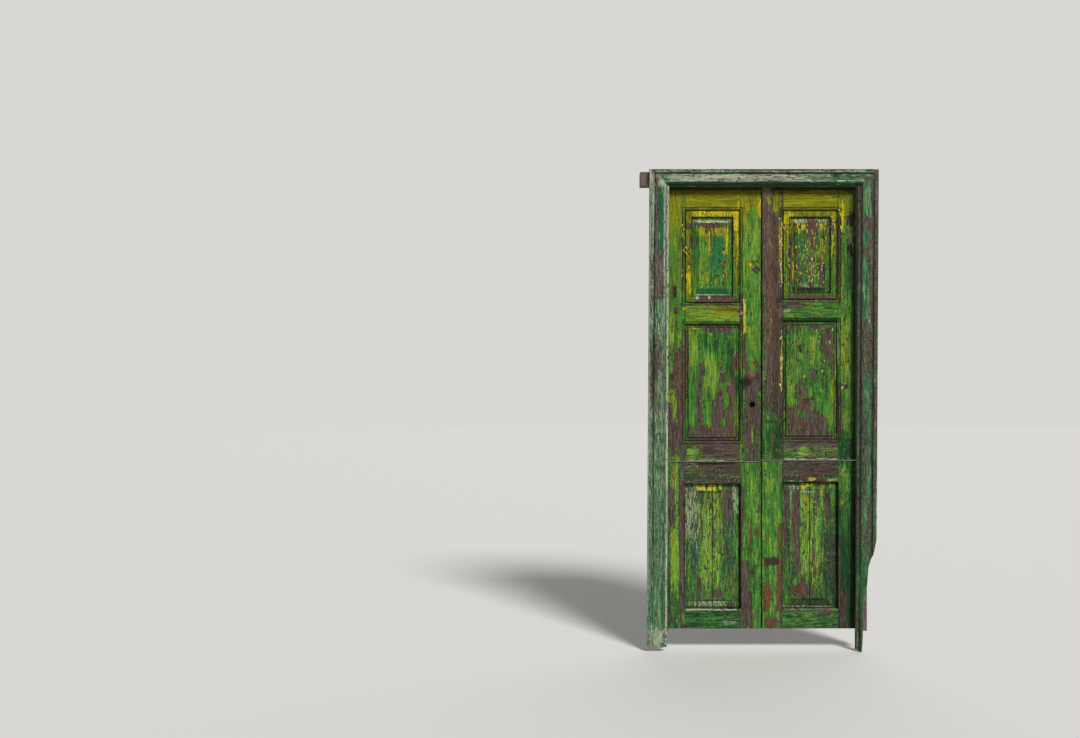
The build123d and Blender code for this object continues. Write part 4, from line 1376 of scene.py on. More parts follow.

# Rows of wear and of painted shade or highlight, by what they change: left, right, bottom and top
# on the face of the door in millimetres, how much is added, and the form where it isn't an oval.
LEFT_UPPER_WEAR_AND_SHADE = {
    COVER: patches(
        (-378, -366, 1580, 2000, -0.8, BLOCK), (-418, -400, 1566, 1634, -0.7),
        (-420, -388, 1500, 1528, -1.0), (-436, -366, 760, 1288, -1.2, BLOCK),
        (-416, -370, 1260, 1330, -0.7), (-460, -420, 880, 1120, -1.2),
        (-447, -402, 1070, 1140, 1.9, BLOCK), (-424, -397, 988, 1090, 1.9, BLOCK),
        (-452, -370, 790, 824, 1.0), (-42, -10, 1688, 1722, -1.6), (-52, -42, 1486, 1502, -1.0),
        (-60, -50, 1575, 1592, -0.8), (-104, -87, 1420, 1580, -0.9, BLOCK),
        (-95, -72, 1222, 1408, -1.5, BLOCK), (-16, -2, 1170, 1262, -1.0, BLOCK),
        (-82, -6, 812, 1232, -1.5, BLOCK), (-48, -40, 878, 966, 1.8, BLOCK),
        (-26, -8, 812, 1000, 1.2), (-358, -328, 1892, 1930, -0.9),
        (-341, -326, 1804, 1882, -1.5, BLOCK), (-150, -132, 1894, 1916, -1.0),
        (-300, -128, 1556, 1580, -1.4, BLOCK), (-312, -292, 1566, 1590, 1.6),
        (-256, -238, 1564, 1588, 1.6), (-300, -170, 1908, 1930, -1.6, BLOCK),
        (-266, -240, 1880, 1920, -0.9), (-243, -236, 1800, 1920, -1.6, LINE),
        (-241, -237, 1610, 1810, -0.6, LINE), (-182, -166, 1730, 1754, -1.5),
        (-178, -166, 1674, 1696, -1.5), (-374, -90, 1540, 1556, -0.7, BLOCK),
        (-116, -90, 1500, 1530, -0.8), (-280, -124, 1408, 1440, -1.2, BLOCK),
        (-345, -124, 1432, 1446, -0.6, BLOCK), (-366, -346, 1090, 1440, -0.8, BLOCK),
        (-274, -206, 1130, 1350, 0.4, BLOCK), (-298, -266, 1200, 1270, -0.9),
        (-306, -280, 1050, 1215, -0.9, BLOCK), (-345, -124, 870, 965, -1.5, BLOCK),
        (-312, -276, 930, 1060, -1.0), (-218, -180, 1000, 1150, -1.1),
        (-240, -176, 900, 1070, -1.1), (-165, -124, 900, 1165, -1.3, BLOCK),
        (-198, -160, 1165, 1240, -0.5), (-345, -308, 955, 1150, 0.9, BLOCK),
        (-270, -240, 975, 1090, 1.0), (-172, -150, 1050, 1125, 1.6), (-196, -166, 962, 1000, 1.7),
        (-256, -244, 1112, 1128, -1.0), (-130, -106, 1215, 1312, -1.4, BLOCK),
        (-130, -106, 951, 1098, 0.3, BLOCK), (-352, -292, 816, 872, 0.8),
        (-290, -110, 812, 880, -0.6, BLOCK),
    ),
    YELLOW: patches(
        (-460, -374, 1880, 2110, 0.45, BLOCK), (-446, -398, 984, 1140, 0.35),
        (-104, -2, 1985, 2140, 0.9, BLOCK), (-104, -60, 1880, 2000, 0.35),
        (-15, -2, 1955, 2050, 1.4, LINE), (-64, -40, 1720, 1745, 1.5),
        (-86, -74, 1400, 1572, 1.5, LINE), (-82, -66, 1400, 1440, 1.2), (-50, -40, 1230, 1290, 0.8),
        (-334, -128, 1956, 1990, 1.1, BLOCK), (-358, -328, 1600, 1810, 0.6, BLOCK),
        (-358, -328, 1590, 1690, 0.9, BLOCK), (-138, -106, 1894, 1990, 1.0, BLOCK),
        (-118, -106, 1700, 1900, 0.9, LINE), (-300, -170, 1868, 1914, 1.1, BLOCK),
        (-250, -240, 1780, 1900, 1.3, LINE), (-286, -258, 1620, 1700, 0.45),
        (-173, -156, 1750, 1925, 1.5, BLOCK), (-170, -160, 1650, 1750, 0.7),
        (-188, -158, 1722, 1762, 0.5), (-186, -160, 1668, 1704, 0.5), (-222, -202, 1634, 1662, 1.0),
        (-378, -348, 1512, 1532, 1.2), (-232, -98, 1486, 1532, 0.8, BLOCK),
        (-345, -290, 1424, 1440, 1.3, BLOCK), (-345, -310, 1240, 1425, 0.2, BLOCK),
        (-126, -110, 951, 1098, 0.5, LINE),
    ),
    LIGHT: patches(
        (-402, -374, 1800, 1912, -0.25), (-450, -388, 1290, 1490, 0.35),
        (-413, -396, 1300, 1480, -0.6), (-446, -398, 984, 1140, 0.5), (-80, -10, 1670, 1970, 0.22),
        (-60, -18, 1240, 1420, 0.15), (-104, -80, 1000, 1210, -0.4, BLOCK),
        (-104, -80, 800, 980, 0.1, BLOCK), (-52, -36, 870, 970, 0.7), (-356, -326, 1690, 1800, 0.4),
        (-138, -108, 1690, 1890, 0.1), (-300, -248, 1620, 1890, 0.32, BLOCK),
        (-320, -146, 1590, 1618, -0.4, BLOCK), (-374, -90, 1446, 1464, -0.5, BLOCK),
        (-345, -302, 1240, 1425, 0.6, BLOCK), (-296, -124, 1300, 1410, -0.22, BLOCK),
        (-175, -124, 1180, 1300, -0.3), (-274, -206, 1120, 1300, 0.35),
        (-130, -104, 1130, 1210, -0.5, BLOCK), (-352, -292, 816, 872, 0.2),
    ),
    TEAL: patches(
        (-140, -106, 1590, 1680, 0.8, BLOCK), (-236, -172, 1700, 1886, 1.1, BLOCK),
        (-320, -146, 1590, 1618, 0.9, BLOCK), (-269, -240, 980, 1040, 0.4),
    ),
    DARK: patches(
        # Painted shadow under the head casing: a dark line across the top of the leaf and a softer
        # band around it.
        (-520, 60, 2082, 2120, 0.9, LINE), (-520, 60, 2050, 2150, 0.45, LINE),
        (-418, -400, 1566, 1634, 0.6), (-418, -390, 1498, 1508, 0.6), (-440, -418, 1180, 1218, 0.7),
        (-400, -394, 990, 1110, 0.6, LINE), (-62, -50, 1812, 1840, 0.5),
        (-58, -10, 1736, 1752, 0.7), (-46, -8, 1722, 1740, 0.6), (-60, -42, 1500, 1506, 0.6),
        (-346, -334, 1940, 1990, 0.6, BLOCK), (-352, -334, 1776, 1790, 0.8),
        (-350, -332, 1722, 1738, 0.8), (-228, -188, 1674, 1682, 0.7, LINE),
        (-258, -244, 1100, 1112, 0.6),
    ),
    RED: patches(
        (-380, -340, 1580, 2000, 0.6, BLOCK), (-400, -380, 1100, 1290, 0.5),
        (-66, -40, 850, 1060, 0.4), (-95, -72, 1222, 1408, 0.25),
        (-300, -128, 1550, 1590, 0.55, BLOCK), (-300, -170, 1880, 1935, 0.35, BLOCK),
        (-190, -160, 1660, 1760, 0.7), (-366, -344, 1090, 1440, 0.3, BLOCK),
        (-165, -124, 900, 1165, 0.5, BLOCK), (-345, -165, 890, 1000, 0.15, BLOCK),
        (-130, -106, 1215, 1312, 1.0, BLOCK), (-140, -90, 810, 890, 0.3),
    ),
    PALE: patches(
        (-312, -292, 1566, 1590, 1.0), (-256, -238, 1564, 1588, 1.0),
        (-318, -146, 1928, 1944, 0.8, LINE), (-320, -146, 1584, 1592, 0.6, LINE),
        (-374, -90, 800, 806, 0.7, LINE), (-374, -120, 872, 890, 0.2, BLOCK),
    ),
}
LEFT_UPPER = Leaf(
    name="upper_left",
    slot="upper_leaf_paint",
    coat=UPPER_COAT,
    boards=(
        Board("top_rail", LEVEL, cover=(1.25, 1.3), yellow=(1.0, 1.05), light=(0.1, -0.1)),
        Board("hinge_stile", UP, cover=(0.85, 1.15), yellow=(0.12, 0.5), light=(0.1, 0.0)),
        Board("lock_stile", UP, cover=(0.95, 1.15), yellow=(0.0, 0.25), light=(0.0, 0.2)),
        Board("middle_rail", LEVEL, cover=(1.05, 1.05), yellow=(0.3, 0.35), light=(0.4, 0.4)),
        Board("bottom_rail", LEVEL, cover=(0.62, 0.6), pale=(0.2, 0.2)),
        Board("small_panel", UP, cover=(1.0, 0.95), yellow=(0.05, 0.25), teal=(0.25, 0.1)),
        Board("panel_trim", UP, cover=(0.75, 0.95), yellow=(0.4, 0.75), teal=(0.2, 0.1)),
        Board("large_panel", UP, cover=(0.95, 0.95), teal=(0.2, 0.2)),
    ),
    wear=LEFT_UPPER_WEAR_AND_SHADE,
    creases=moulded((-360, -104, 1552, 1988), (-360, -104, 896, 1446)),
    flurries=(
        Flurry(Curl.YELLOW, -356, -330, 1600, 1815, 16, 20),
        Flurry(Curl.YELLOW, -182, -160, 1660, 1920, 12, 16),
        Flurry(Curl.YELLOW, -62, -8, 1724, 1748, 6, 14),
        Flurry(Curl.CREAM, -86, -76, 1405, 1570, 12, 18),
        Flurry(Curl.YELLOW, -298, -172, 1868, 1912, 14, 14),
        Flurry(Curl.YELLOW, -250, -236, 1640, 1860, 8, 13),
        Flurry(Curl.GREEN, -342, -130, 985, 1430, 60, 16),
        Flurry(Curl.GREEN, -446, -398, 985, 1215, 14, 22),
        Flurry(Curl.YELLOW, -380, -364, 1590, 1960, 12, 16),
        Flurry(Curl.GREEN, -112, -92, 1600, 1960, 8, 14),
        Flurry(Curl.YELLOW, -122, -92, 1486, 1530, 5, 16),
    ),
    seed=11,
    pegs=((-395, 2030), (-71, 2031), (-395, 1500), (-71, 1500), (-395, 846), (-71, 846)),
    peg_proud=0.9,
)
RIGHT_UPPER_WEAR_AND_SHADE = {
    COVER: patches(
        (50, 84, 1960, 2110, 0.9, BLOCK), (50, 104, 1120, 1940, -0.5, BLOCK),
        (82, 100, 1620, 1955, 0.7, BLOCK), (86, 104, 1130, 1400, 0.8, BLOCK),
        (50, 100, 800, 1010, 0.6, BLOCK), (358, 376, 1660, 1960, -0.9, BLOCK),
        (400, 450, 1916, 1976, -0.9), (408, 446, 1776, 1830, -0.8), (376, 410, 1146, 1172, -0.8),
        (360, 382, 930, 1150, -0.8, BLOCK), (322, 358, 1890, 1944, -1.0, BLOCK),
        (136, 340, 1556, 1584, -1.4, BLOCK), (134, 147, 1627, 1785, -1.5, BLOCK),
        (216, 274, 1870, 1945, -1.5, BLOCK), (236, 264, 1800, 1880, -1.3),
        (200, 218, 1880, 1900, -1.2), (214, 246, 1728, 1776, -1.0), (214, 252, 1676, 1704, -0.9),
        (272, 306, 1632, 1740, -0.7, BLOCK), (228, 240, 1620, 1674, -1.2),
        (89, 220, 1520, 1550, -0.9), (84, 104, 1470, 1560, -0.8),
        (110, 350, 1436, 1450, -0.5, BLOCK), (121, 142, 1400, 1436, -0.8),
        (288, 345, 1300, 1440, -1.0), (325, 348, 1210, 1420, -1.1, BLOCK),
        (215, 285, 1418, 1440, -1.0), (180, 196, 1310, 1360, -0.8), (236, 272, 1190, 1240, -1.1),
        (165, 225, 1110, 1165, -1.0), (150, 170, 1090, 1130, -0.7),
        (121, 350, 870, 1060, -0.8, BLOCK), (160, 250, 1040, 1100, -0.8),
        (170, 225, 1000, 1050, 0.75), (262, 330, 1010, 1090, 0.55), (300, 345, 930, 1070, 0.5),
        (124, 160, 1060, 1160, 0.8), (90, 184, 856, 890, -1.0), (174, 224, 826, 868, 0.9),
        (205, 260, 804, 826, -0.9), (330, 366, 860, 890, -0.9),
    ),
    YELLOW: patches(
        (50, 104, 1960, 2110, 0.6, BLOCK), (82, 100, 1620, 1955, 1.3, BLOCK),
        (86, 104, 1130, 1400, 1.2, BLOCK), (362, 430, 1890, 2110, 0.7, BLOCK),
        (374, 392, 1870, 2010, 0.8), (372, 420, 1180, 1490, 0.2, BLOCK),
        (128, 330, 1956, 1990, 0.5, BLOCK), (106, 136, 1900, 1990, 0.9, BLOCK),
        (104, 112, 1560, 1960, 0.8, LINE), (330, 358, 1940, 1990, 0.7), (330, 340, 1780, 1900, 0.9),
        (140, 154, 1627, 1960, 0.8, LINE), (150, 160, 1640, 1800, 1.2, LINE),
        (162, 218, 1890, 1932, 1.5, BLOCK), (274, 312, 1890, 1932, 1.3, BLOCK),
        (228, 250, 1800, 1870, 0.8), (214, 254, 1676, 1780, 0.7),
        (270, 306, 1632, 1850, 0.9, BLOCK), (230, 264, 1290, 1410, 0.35),
        (334, 348, 1050, 1230, 0.5, LINE),
    ),
    LIGHT: patches(
        (50, 100, 800, 1010, -0.25, BLOCK), (376, 392, 1560, 1770, 0.4),
        (400, 460, 1500, 1900, -0.25, BLOCK), (372, 420, 1180, 1490, 0.55, BLOCK),
        (384, 424, 930, 1140, 0.25), (362, 460, 790, 930, -0.55, BLOCK),
        (330, 358, 1600, 1760, 0.15), (146, 318, 1600, 1626, -0.6, BLOCK),
        (150, 350, 1490, 1550, 0.05, BLOCK), (90, 374, 1461, 1480, -0.6, BLOCK),
        (126, 200, 1160, 1430, 0.15, BLOCK), (230, 264, 1250, 1410, 0.55),
        (262, 300, 1260, 1320, 0.35), (240, 330, 1110, 1250, -0.25), (124, 164, 1060, 1200, 0.3),
        (328, 350, 1000, 1240, 0.4, BLOCK), (174, 224, 826, 868, 0.7), (250, 374, 820, 900, 0.1),
    ),
    TEAL: patches(
        (400, 450, 1640, 1900, 0.4, BLOCK), (106, 136, 1710, 1895, 1.0, BLOCK),
        (164, 228, 1640, 1880, 0.4, BLOCK),
    ),
    DARK: patches(
        # Painted shadow: the first two rows under the head casing, the next two down the hinge
        # stile beside the right casing.
        (-60, 520, 2082, 2120, 0.9, LINE), (-60, 520, 2050, 2150, 0.45, LINE),
        (440, 462, 780, 2110, 0.85, LINE), (416, 466, 780, 2110, 0.45, BLOCK),
        (104, 118, 1060, 1380, 0.5, BLOCK), (62, 84, 800, 1900, 0.2, BLOCK),
        (400, 450, 1916, 1976, 0.5), (408, 446, 1776, 1830, 0.6), (376, 410, 1140, 1160, 0.5),
        (362, 460, 790, 900, 0.15, BLOCK), (154, 162, 1620, 1930, 0.7, LINE),
        (198, 220, 1878, 1888, 0.8), (146, 318, 1606, 1622, 0.5, LINE),
    ),
    RED: patches(
        (50, 84, 1250, 1950, 0.4, BLOCK), (358, 376, 1660, 1960, 0.4, BLOCK),
        (136, 340, 1556, 1584, 0.45, BLOCK), (134, 147, 1627, 1785, 0.8, BLOCK),
        (216, 274, 1800, 1945, 0.55, BLOCK), (325, 350, 1210, 1400, 0.7, BLOCK),
        (121, 350, 900, 1060, 0.2, BLOCK),
    ),
    PALE: patches(
        (86, 104, 1130, 1400, 0.4, BLOCK), (360, 368, 1270, 1465, 0.9, LINE),
        (146, 318, 1932, 1948, 0.9, LINE), (160, 310, 1624, 1634, 0.7, LINE),
        (90, 374, 1556, 1566, 0.6, LINE), (90, 150, 1490, 1530, 0.3),
        (90, 374, 804, 812, 0.5, LINE),
    ),
}
RIGHT_UPPER = Leaf(
    name="upper_right",
    slot="upper_leaf_paint",
    coat=UPPER_COAT,
    boards=(
        Board("top_rail", LEVEL, cover=(1.25, 1.3), yellow=(1.0, 1.05), light=(0.1, -0.1)),
        Board("hinge_stile", UP, cover=(0.95, 0.9), yellow=(0.1, 0.3)),
        Board("lock_stile", UP, cover=(0.3, 0.55), yellow=(0.1, 0.4), dark=(0.1, 0.0)),
        Board("middle_rail", LEVEL, cover=(0.95, 0.95), light=(0.05, 0.05)),
        Board("bottom_rail", LEVEL, cover=(0.72, 0.66), pale=(0.25, 0.2)),
        Board("small_panel", UP, cover=(0.75, 0.7), yellow=(0.15, 0.3), teal=(0.2, 0.2)),
        Board("panel_trim", UP, cover=(0.75, 0.9), yellow=(0.2, 0.6), teal=(0.25, 0.1)),
        Board("large_panel", UP, cover=(0.85, 0.85), teal=(0.2, 0.15)),
    ),
    wear=RIGHT_UPPER_WEAR_AND_SHADE,
    creases=moulded((104, 360, 1567, 1988), (104, 360, 903, 1461)),
    flurries=(
        Flurry(Curl.YELLOW, 160, 310, 1630, 1930, 90, 15),
        Flurry(Curl.GREEN, 164, 300, 1630, 1900, 50, 16),
        Flurry(Curl.CREAM, 212, 300, 1632, 1780, 16, 16),
        Flurry(Curl.CREAM, 84, 100, 1620, 1955, 30, 18),
        Flurry(Curl.CREAM, 88, 104, 1130, 1400, 18, 20),
        Flurry(Curl.DARK, 400, 446, 1780, 1976, 16, 34),
        Flurry(Curl.CREAM, 376, 410, 1146, 1172, 4, 22),
        Flurry(Curl.YELLOW, 328, 356, 1780, 1960, 16, 20),
        Flurry(Curl.YELLOW, 106, 134, 1600, 1960, 14, 16),
        Flurry(Curl.YELLOW, 366, 384, 1880, 2040, 10, 18),
        Flurry(Curl.GREEN, 125, 345, 1080, 1440, 84, 17),
        Flurry(Curl.CREAM, 125, 345, 1080, 1440, 20, 14),
        Flurry(Curl.GREEN, 130, 345, 930, 1080, 22, 13),
    ),
    seed=12,
    pegs=((394, 2031), (72, 2031), (394, 1514), (72, 1514), (394, 853), (72, 853)),
    peg_proud=0.9,
)
LEFT_LOWER_WEAR_AND_SHADE = {
    COVER: patches(
        (-436, -408, 470, 680, -1.2, BLOCK), (-424, -390, 190, 560, 0.7, BLOCK),
        (-392, -366, 60, 790, -1.2, BLOCK), (-310, -182, 655, 688, 1.0, BLOCK),
        (-318, -300, 470, 510, -0.8), (-320, -306, 240, 330, -0.7),
        (-178, -136, 520, 650, -0.8, BLOCK), (-172, -160, 330, 420, -0.6),
        (-232, -190, 146, 194, -1.2), (-306, -280, 140, 250, -0.7), (-162, -128, 100, 128, -1.0),
        (-374, -366, 0, 800, -0.5, BLOCK), (-99, -84, 380, 640, -0.9, BLOCK),
        (-99, -62, 170, 340, -1.3), (-96, -40, 0, 200, -1.4, BLOCK), (-60, -34, 100, 210, 0.8),
        (-58, -46, 385, 535, -1.1), (-34, -14, 440, 480, -0.9), (-18, -6, 545, 600, -1.1),
        (-10, -6, 600, 790, -0.6, LINE),
    ),
    YELLOW: patches(
        (-432, -396, 660, 790, 0.5), (-428, -392, 260, 560, 0.25, BLOCK),
        (-308, -262, 657, 686, 2.0, BLOCK), (-252, -208, 657, 686, 2.0, BLOCK),
        (-200, -184, 660, 684, 1.6, BLOCK), (-300, -186, 500, 646, 0.3, BLOCK),
        (-300, -186, 200, 500, 0.1, BLOCK), (-150, -100, 140, 300, 0.25),
    ),
    LIGHT: patches(
        (-432, -390, 560, 790, 0.8, BLOCK), (-430, -388, 180, 560, 0.75, BLOCK),
        (-460, -390, 0, 145, -0.35, BLOCK), (-460, -434, 0, 600, -0.4, BLOCK),
        (-363, -330, 694, 715, 0.6), (-300, -184, 190, 646, 0.55, BLOCK),
        (-333, -298, 300, 450, -0.3, BLOCK), (-184, -118, 250, 610, -0.25, BLOCK),
        (-220, -186, 380, 600, 0.1), (-60, -12, 560, 790, 0.15),
    ),
    TEAL: patches(
        (-450, -400, 10, 120, 0.5), (-333, -298, 300, 450, 1.0, BLOCK),
        (-184, -118, 250, 610, 0.4, BLOCK),
    ),
    DARK: patches(
        (-300, -120, 782, 792, 0.7, LINE), (-262, -253, 655, 690, 0.9, BLOCK),
        (-207, -201, 655, 690, 0.9, BLOCK), (-310, -184, 648, 654, 0.7, LINE),
        # The first patch on the next line is painted shade along the raised field's bottom edge.
        (-333, -134, 134, 141, 0.8, LINE), (-58, -26, 250, 310, 0.5),
    ),
    RED: patches(
        (-436, -408, 470, 680, 0.1, BLOCK), (-390, -366, 60, 700, 0.1, BLOCK),
        (-300, -260, 745, 775, 0.4), (-232, -190, 146, 194, 0.3), (-58, -46, 385, 535, 1.0),
        (-34, -6, 440, 600, 1.0),
    ),
    PALE: patches(
        (-374, -96, 774, 784, 0.5, LINE), (-363, -304, 420, 690, 0.4, BLOCK),
        (-150, -99, 560, 690, 0.4), (-333, -134, 106, 134, 0.5, BLOCK),
        # The second patch on the next line is a painted highlight along the top edge of the bottom
        # rail.
        (-366, -357, 110, 400, 0.5, LINE), (-366, -99, 92, 104, 1.3, LINE),
        (-330, -240, 46, 60, 0.35), (-200, -110, 22, 46, 0.35),
    ),
}
LEFT_LOWER = Leaf(
    name="lower_left",
    slot="lower_leaf_paint",
    coat=LOWER_COAT,
    boards=(
        Board("hinge_stile", UP, cover=(0.85, 0.8), yellow=(0.05, 0.15), red=(0.0, 0.0)),
        Board("lock_stile", UP, cover=(0.95, 1.0), light=(0.05, 0.1)),
        Board("top_rail", LEVEL, cover=(0.55, 0.42), dark=(0.05, 0.15), pale=(0.3, 0.35)),
        Board("bottom_rail", LEVEL, cover=(0.95, 0.9), light=(-0.25, -0.2)),
        Board("panel_board_left", UP, cover=(0.8, 0.75), pale=(0.15, 0.25)),
        Board("panel_board_right", UP, cover=(0.8, 0.75), pale=(0.1, 0.2)),
    ),
    wear=LEFT_LOWER_WEAR_AND_SHADE,
    # Painted shade along the panel's opening and around its raised field.
    creases=(Crease((-363, -99, 102, 690), 2.2, 0.85), Crease((-328, -134, 137, 655), 0.7, 0.5)),
    flurries=(
        Flurry(Curl.GREEN, -430, -392, 200, 780, 14, 16),
        Flurry(Curl.GREEN, -345, -110, 150, 660, 26, 13),
        Flurry(Curl.GREEN, -90, -14, 60, 620, 10, 13),
    ),
    seed=13,
    pegs=((-395, 742), (-68, 742), (-395, 54), (-68, 54)),
    peg_proud=0.8,
)
RIGHT_LOWER_WEAR_AND_SHADE = {
    COVER: patches(
        (82, 96, 400, 505, -1.3, BLOCK), (86, 97, 0, 420, -1.0, BLOCK),
        (18, 88, 304, 342, -1.1, BLOCK), (72, 97, 60, 290, -0.8, BLOCK), (15, 46, 110, 216, -1.7),
        (10, 40, 88, 150, -1.2), (16, 80, 6, 60, -0.8), (120, 200, 700, 712, 0.8),
        (214, 258, 704, 720, 1.0), (300, 362, 704, 730, 0.8), (108, 131, 360, 680, -1.0, BLOCK),
        (150, 184, 300, 640, -1.1, BLOCK), (296, 326, 520, 650, -0.9, BLOCK),
        (244, 262, 330, 380, -0.8), (250, 262, 250, 300, -0.9), (150, 245, 148, 220, -0.7),
        (270, 345, 66, 96, -0.6), (363, 376, 180, 420, -0.8, BLOCK),
        (366, 410, 6, 185, -1.4, BLOCK),
    ),
    YELLOW: patches(
        (20, 60, 640, 720, 0.35), (214, 258, 704, 720, 1.3), (300, 362, 706, 716, 0.9),
        (183, 230, 664, 698, 2.0), (270, 310, 620, 690, 0.45), (186, 232, 540, 660, 0.5),
        (240, 290, 380, 650, 0.15), (238, 294, 180, 360, 0.2), (364, 400, 690, 780, 0.25),
        (376, 392, 590, 620, 0.9),
    ),
    LIGHT: patches(
        (180, 292, 190, 650, 0.65, BLOCK), (293, 358, 150, 505, -0.35, BLOCK),
        (134, 330, 104, 140, -0.45, BLOCK), (364, 426, 600, 790, 0.5), (390, 432, 300, 600, 0.15),
        (410, 460, 0, 260, -0.4, BLOCK),
    ),
    TEAL: patches((134, 170, 220, 330, 0.8)),
    DARK: patches(
        # Painted shadow down the hinge stile beside the right casing.
        (440, 462, -20, 820, 0.85, LINE), (420, 466, -20, 820, 0.35, BLOCK),
        # The second patch on the next line and the one after it are painted shade along the raised
        # field's left and bottom edges.
        (18, 88, 304, 342, 0.55, BLOCK), (131, 136, 300, 660, 0.6, LINE),
        (134, 328, 139, 147, 0.8, LINE),
    ),
    RED: patches(
        (82, 97, 280, 505, 1.1, BLOCK), (72, 97, 60, 290, 0.6, BLOCK), (8, 52, 20, 230, 1.4, BLOCK),
        (110, 260, 716, 755, 0.45), (240, 270, 240, 380, 0.6), (150, 200, 170, 210, 0.5),
        (290, 345, 66, 96, 0.4),
    ),
    PALE: patches(
        (97, 363, 788, 796, 1.1, LINE), (122, 182, 655, 690, 0.4), (150, 260, 648, 658, 0.5, LINE),
        # The middle patch on the next line is a painted highlight along the top edge of the bottom
        # rail.
        (136, 150, 480, 660, 0.4, BLOCK), (97, 363, 97, 110, 1.5, LINE), (376, 396, 735, 760, 0.4),
    ),
}
RIGHT_LOWER = Leaf(
    name="lower_right",
    slot="lower_leaf_paint",
    coat=LOWER_COAT,
    boards=(
        # The hinge stile's lowered light level and added dark are painted shade beside the right
        # casing.
        Board(
            "hinge_stile", UP, cover=(1.0, 1.0), light=(-0.55, -0.25), dark=(0.3, 0.15),
            red=(0.0, 0.0),
        ),
        Board("lock_stile", UP, cover=(0.95, 1.0), light=(0.15, 0.1)),
        Board("top_rail", LEVEL, cover=(0.42, 0.3), dark=(0.1, 0.1), pale=(0.3, 0.3)),
        Board("bottom_rail", LEVEL, cover=(0.85, 0.85), light=(-0.1, -0.1), pale=(0.15, 0.15)),
        Board("panel_board_left", UP, cover=(0.75, 0.75), pale=(0.1, 0.1)),
        Board("panel_board_right", UP, cover=(0.8, 0.75), light=(-0.2, 0.0)),
    ),
    wear=RIGHT_LOWER_WEAR_AND_SHADE,
    # Painted shade along the panel's opening and around its raised field.
    creases=(Crease((99, 363, 102, 697), 2.2, 0.85), Crease((134, 328, 137, 662), 0.7, 0.5)),
    flurries=(
        Flurry(Curl.GREEN, 110, 350, 150, 670, 30, 13),
        Flurry(Curl.GREEN, 14, 92, 60, 520, 12, 13),
        Flurry(Curl.YELLOW, 300, 350, 500, 530, 4, 12),
        Flurry(Curl.GREEN, 366, 430, 560, 780, 8, 16),
    ),
    seed=14,
    pegs=((395, 749), (68, 749), (395, 54), (68, 54)),
    peg_proud=0.8,
)

CASING_LEFT_WEAR = {
    COVER: patches(
        (-508, -496, 1720, 2150, -1.3, BLOCK), (-480, -468, 1780, 2120, 0.5, BLOCK),
        (-520, -468, 1562, 1790, -1.2, BLOCK), (-512, -472, 1400, 1550, 0.5, BLOCK),
        (-520, -470, 1220, 1400, -0.5, BLOCK), (-524, -490, 1050, 1240, -0.8, BLOCK),
    ),
    TEAL: patches((-506, -466, 1700, 2130, 0.7, BLOCK), (-512, -472, 1400, 1550, 0.8, BLOCK)),
    DARK: patches((-515, -507, 400, 2150, 0.6, LINE), (-462, -452, -80, 2100, 0.25, LINE)),
    PALE: patches(
        (-534, -531, -80, 2175, 1.4, LINE), (-519, -513, 1500, 2165, 1.1, LINE),
        (-508, -496, 1720, 2150, 0.2, BLOCK), (-504, -468, 1700, 2100, -0.5, BLOCK),
        (-467, -459, 1500, 2120, 1.0, LINE), (-534, -446, 2090, 2170, 0.6),
        (-449, -440, -80, 2140, 1.3, LINE), (-524, -490, 1040, 1240, 0.4, BLOCK),
        (-534, -441, -80, 1200, 0.08, BLOCK), (-530, -446, -80, 20, 0.5, BLOCK),
    ),
}
CASING_RIGHT_WEAR = {
    COVER: patches(
        (470, 506, 1960, 2120, 1.0, BLOCK), (471, 496, 1800, 1900, 0.9),
        (468, 500, 1483, 1736, 1.0, BLOCK), (474, 512, 1040, 1200, 0.5, BLOCK),
        (488, 514, 930, 1060, 0.9), (490, 508, 600, 930, 0.5, BLOCK),
        (497, 504, 735, 810, -1.0, LINE), (478, 500, 480, 660, 0.4),
        (448, 541, 70, 330, 0.45, BLOCK),
    ),
    LIGHT: patches((470, 506, 1960, 2120, 0.15, BLOCK)),
    DARK: patches(
        (513, 523, 0, 2150, 0.45, LINE), (484, 488, 1483, 1700, 0.5, LINE),
        (448, 452, -90, 2100, 0.5, LINE),
    ),
    RED: patches(
        (500, 541, 1300, 2110, 0.5, BLOCK), (478, 512, 1738, 1800, 0.8),
        (474, 520, 1250, 1470, 0.9, BLOCK), (497, 504, 735, 810, 1.2, LINE),
        (500, 507, 576, 640, 1.2, LINE),
    ),
    PALE: patches((537, 541, -90, 1300, 1.5, LINE), (448, 541, -100, 20, 0.3, BLOCK)),
}
CASING_HEAD_WEAR = {
    COVER: patches((-534, 541, 2164, 2175, -0.4, BLOCK)),
    LIGHT: patches((300, 541, 2118, 2160, -0.3, BLOCK)),
    TEAL: patches((-534, 541, 2094, 2117, 1.1, BLOCK)),
    DARK: patches(
        (-534, 541, 2152, 2159, 0.75, LINE), (-534, 541, 2099, 2108, 0.35, LINE),
        (-534, 541, 2092, 2102, 0.3, LINE),
    ),
    PALE: patches(
        (-534, 541, 2162, 2174, 1.5, BLOCK), (-500, 230, 2116, 2152, 0.45, BLOCK),
        (-534, 541, 2117, 2122, 0.7, LINE), (-534, 541, 2094, 2117, -1.1, BLOCK),
    ),
}
STRIP_WEAR = {
    COVER: patches(
        (20, 46, 1995, 2072, 0.7), (33, 39, 1820, 1862, 1.0), (44, 50, 1780, 1850, 0.8),
        (2, 50, 800, 1040, 0.75, BLOCK), (2, 22, 1040, 1400, 0.3, BLOCK),
    ),
    YELLOW: patches((20, 46, 1995, 2072, 0.6)),
    LIGHT: patches((2, 50, 800, 1200, -0.3, BLOCK)),
    DARK: patches((14, 48, 980, 996, 0.6), (2, 6, 800, 2096, 0.4, LINE)),
    RED: patches((26, 52, 1240, 1850, 0.7, BLOCK), (0, 26, 1240, 2100, 0.1, BLOCK)),
}
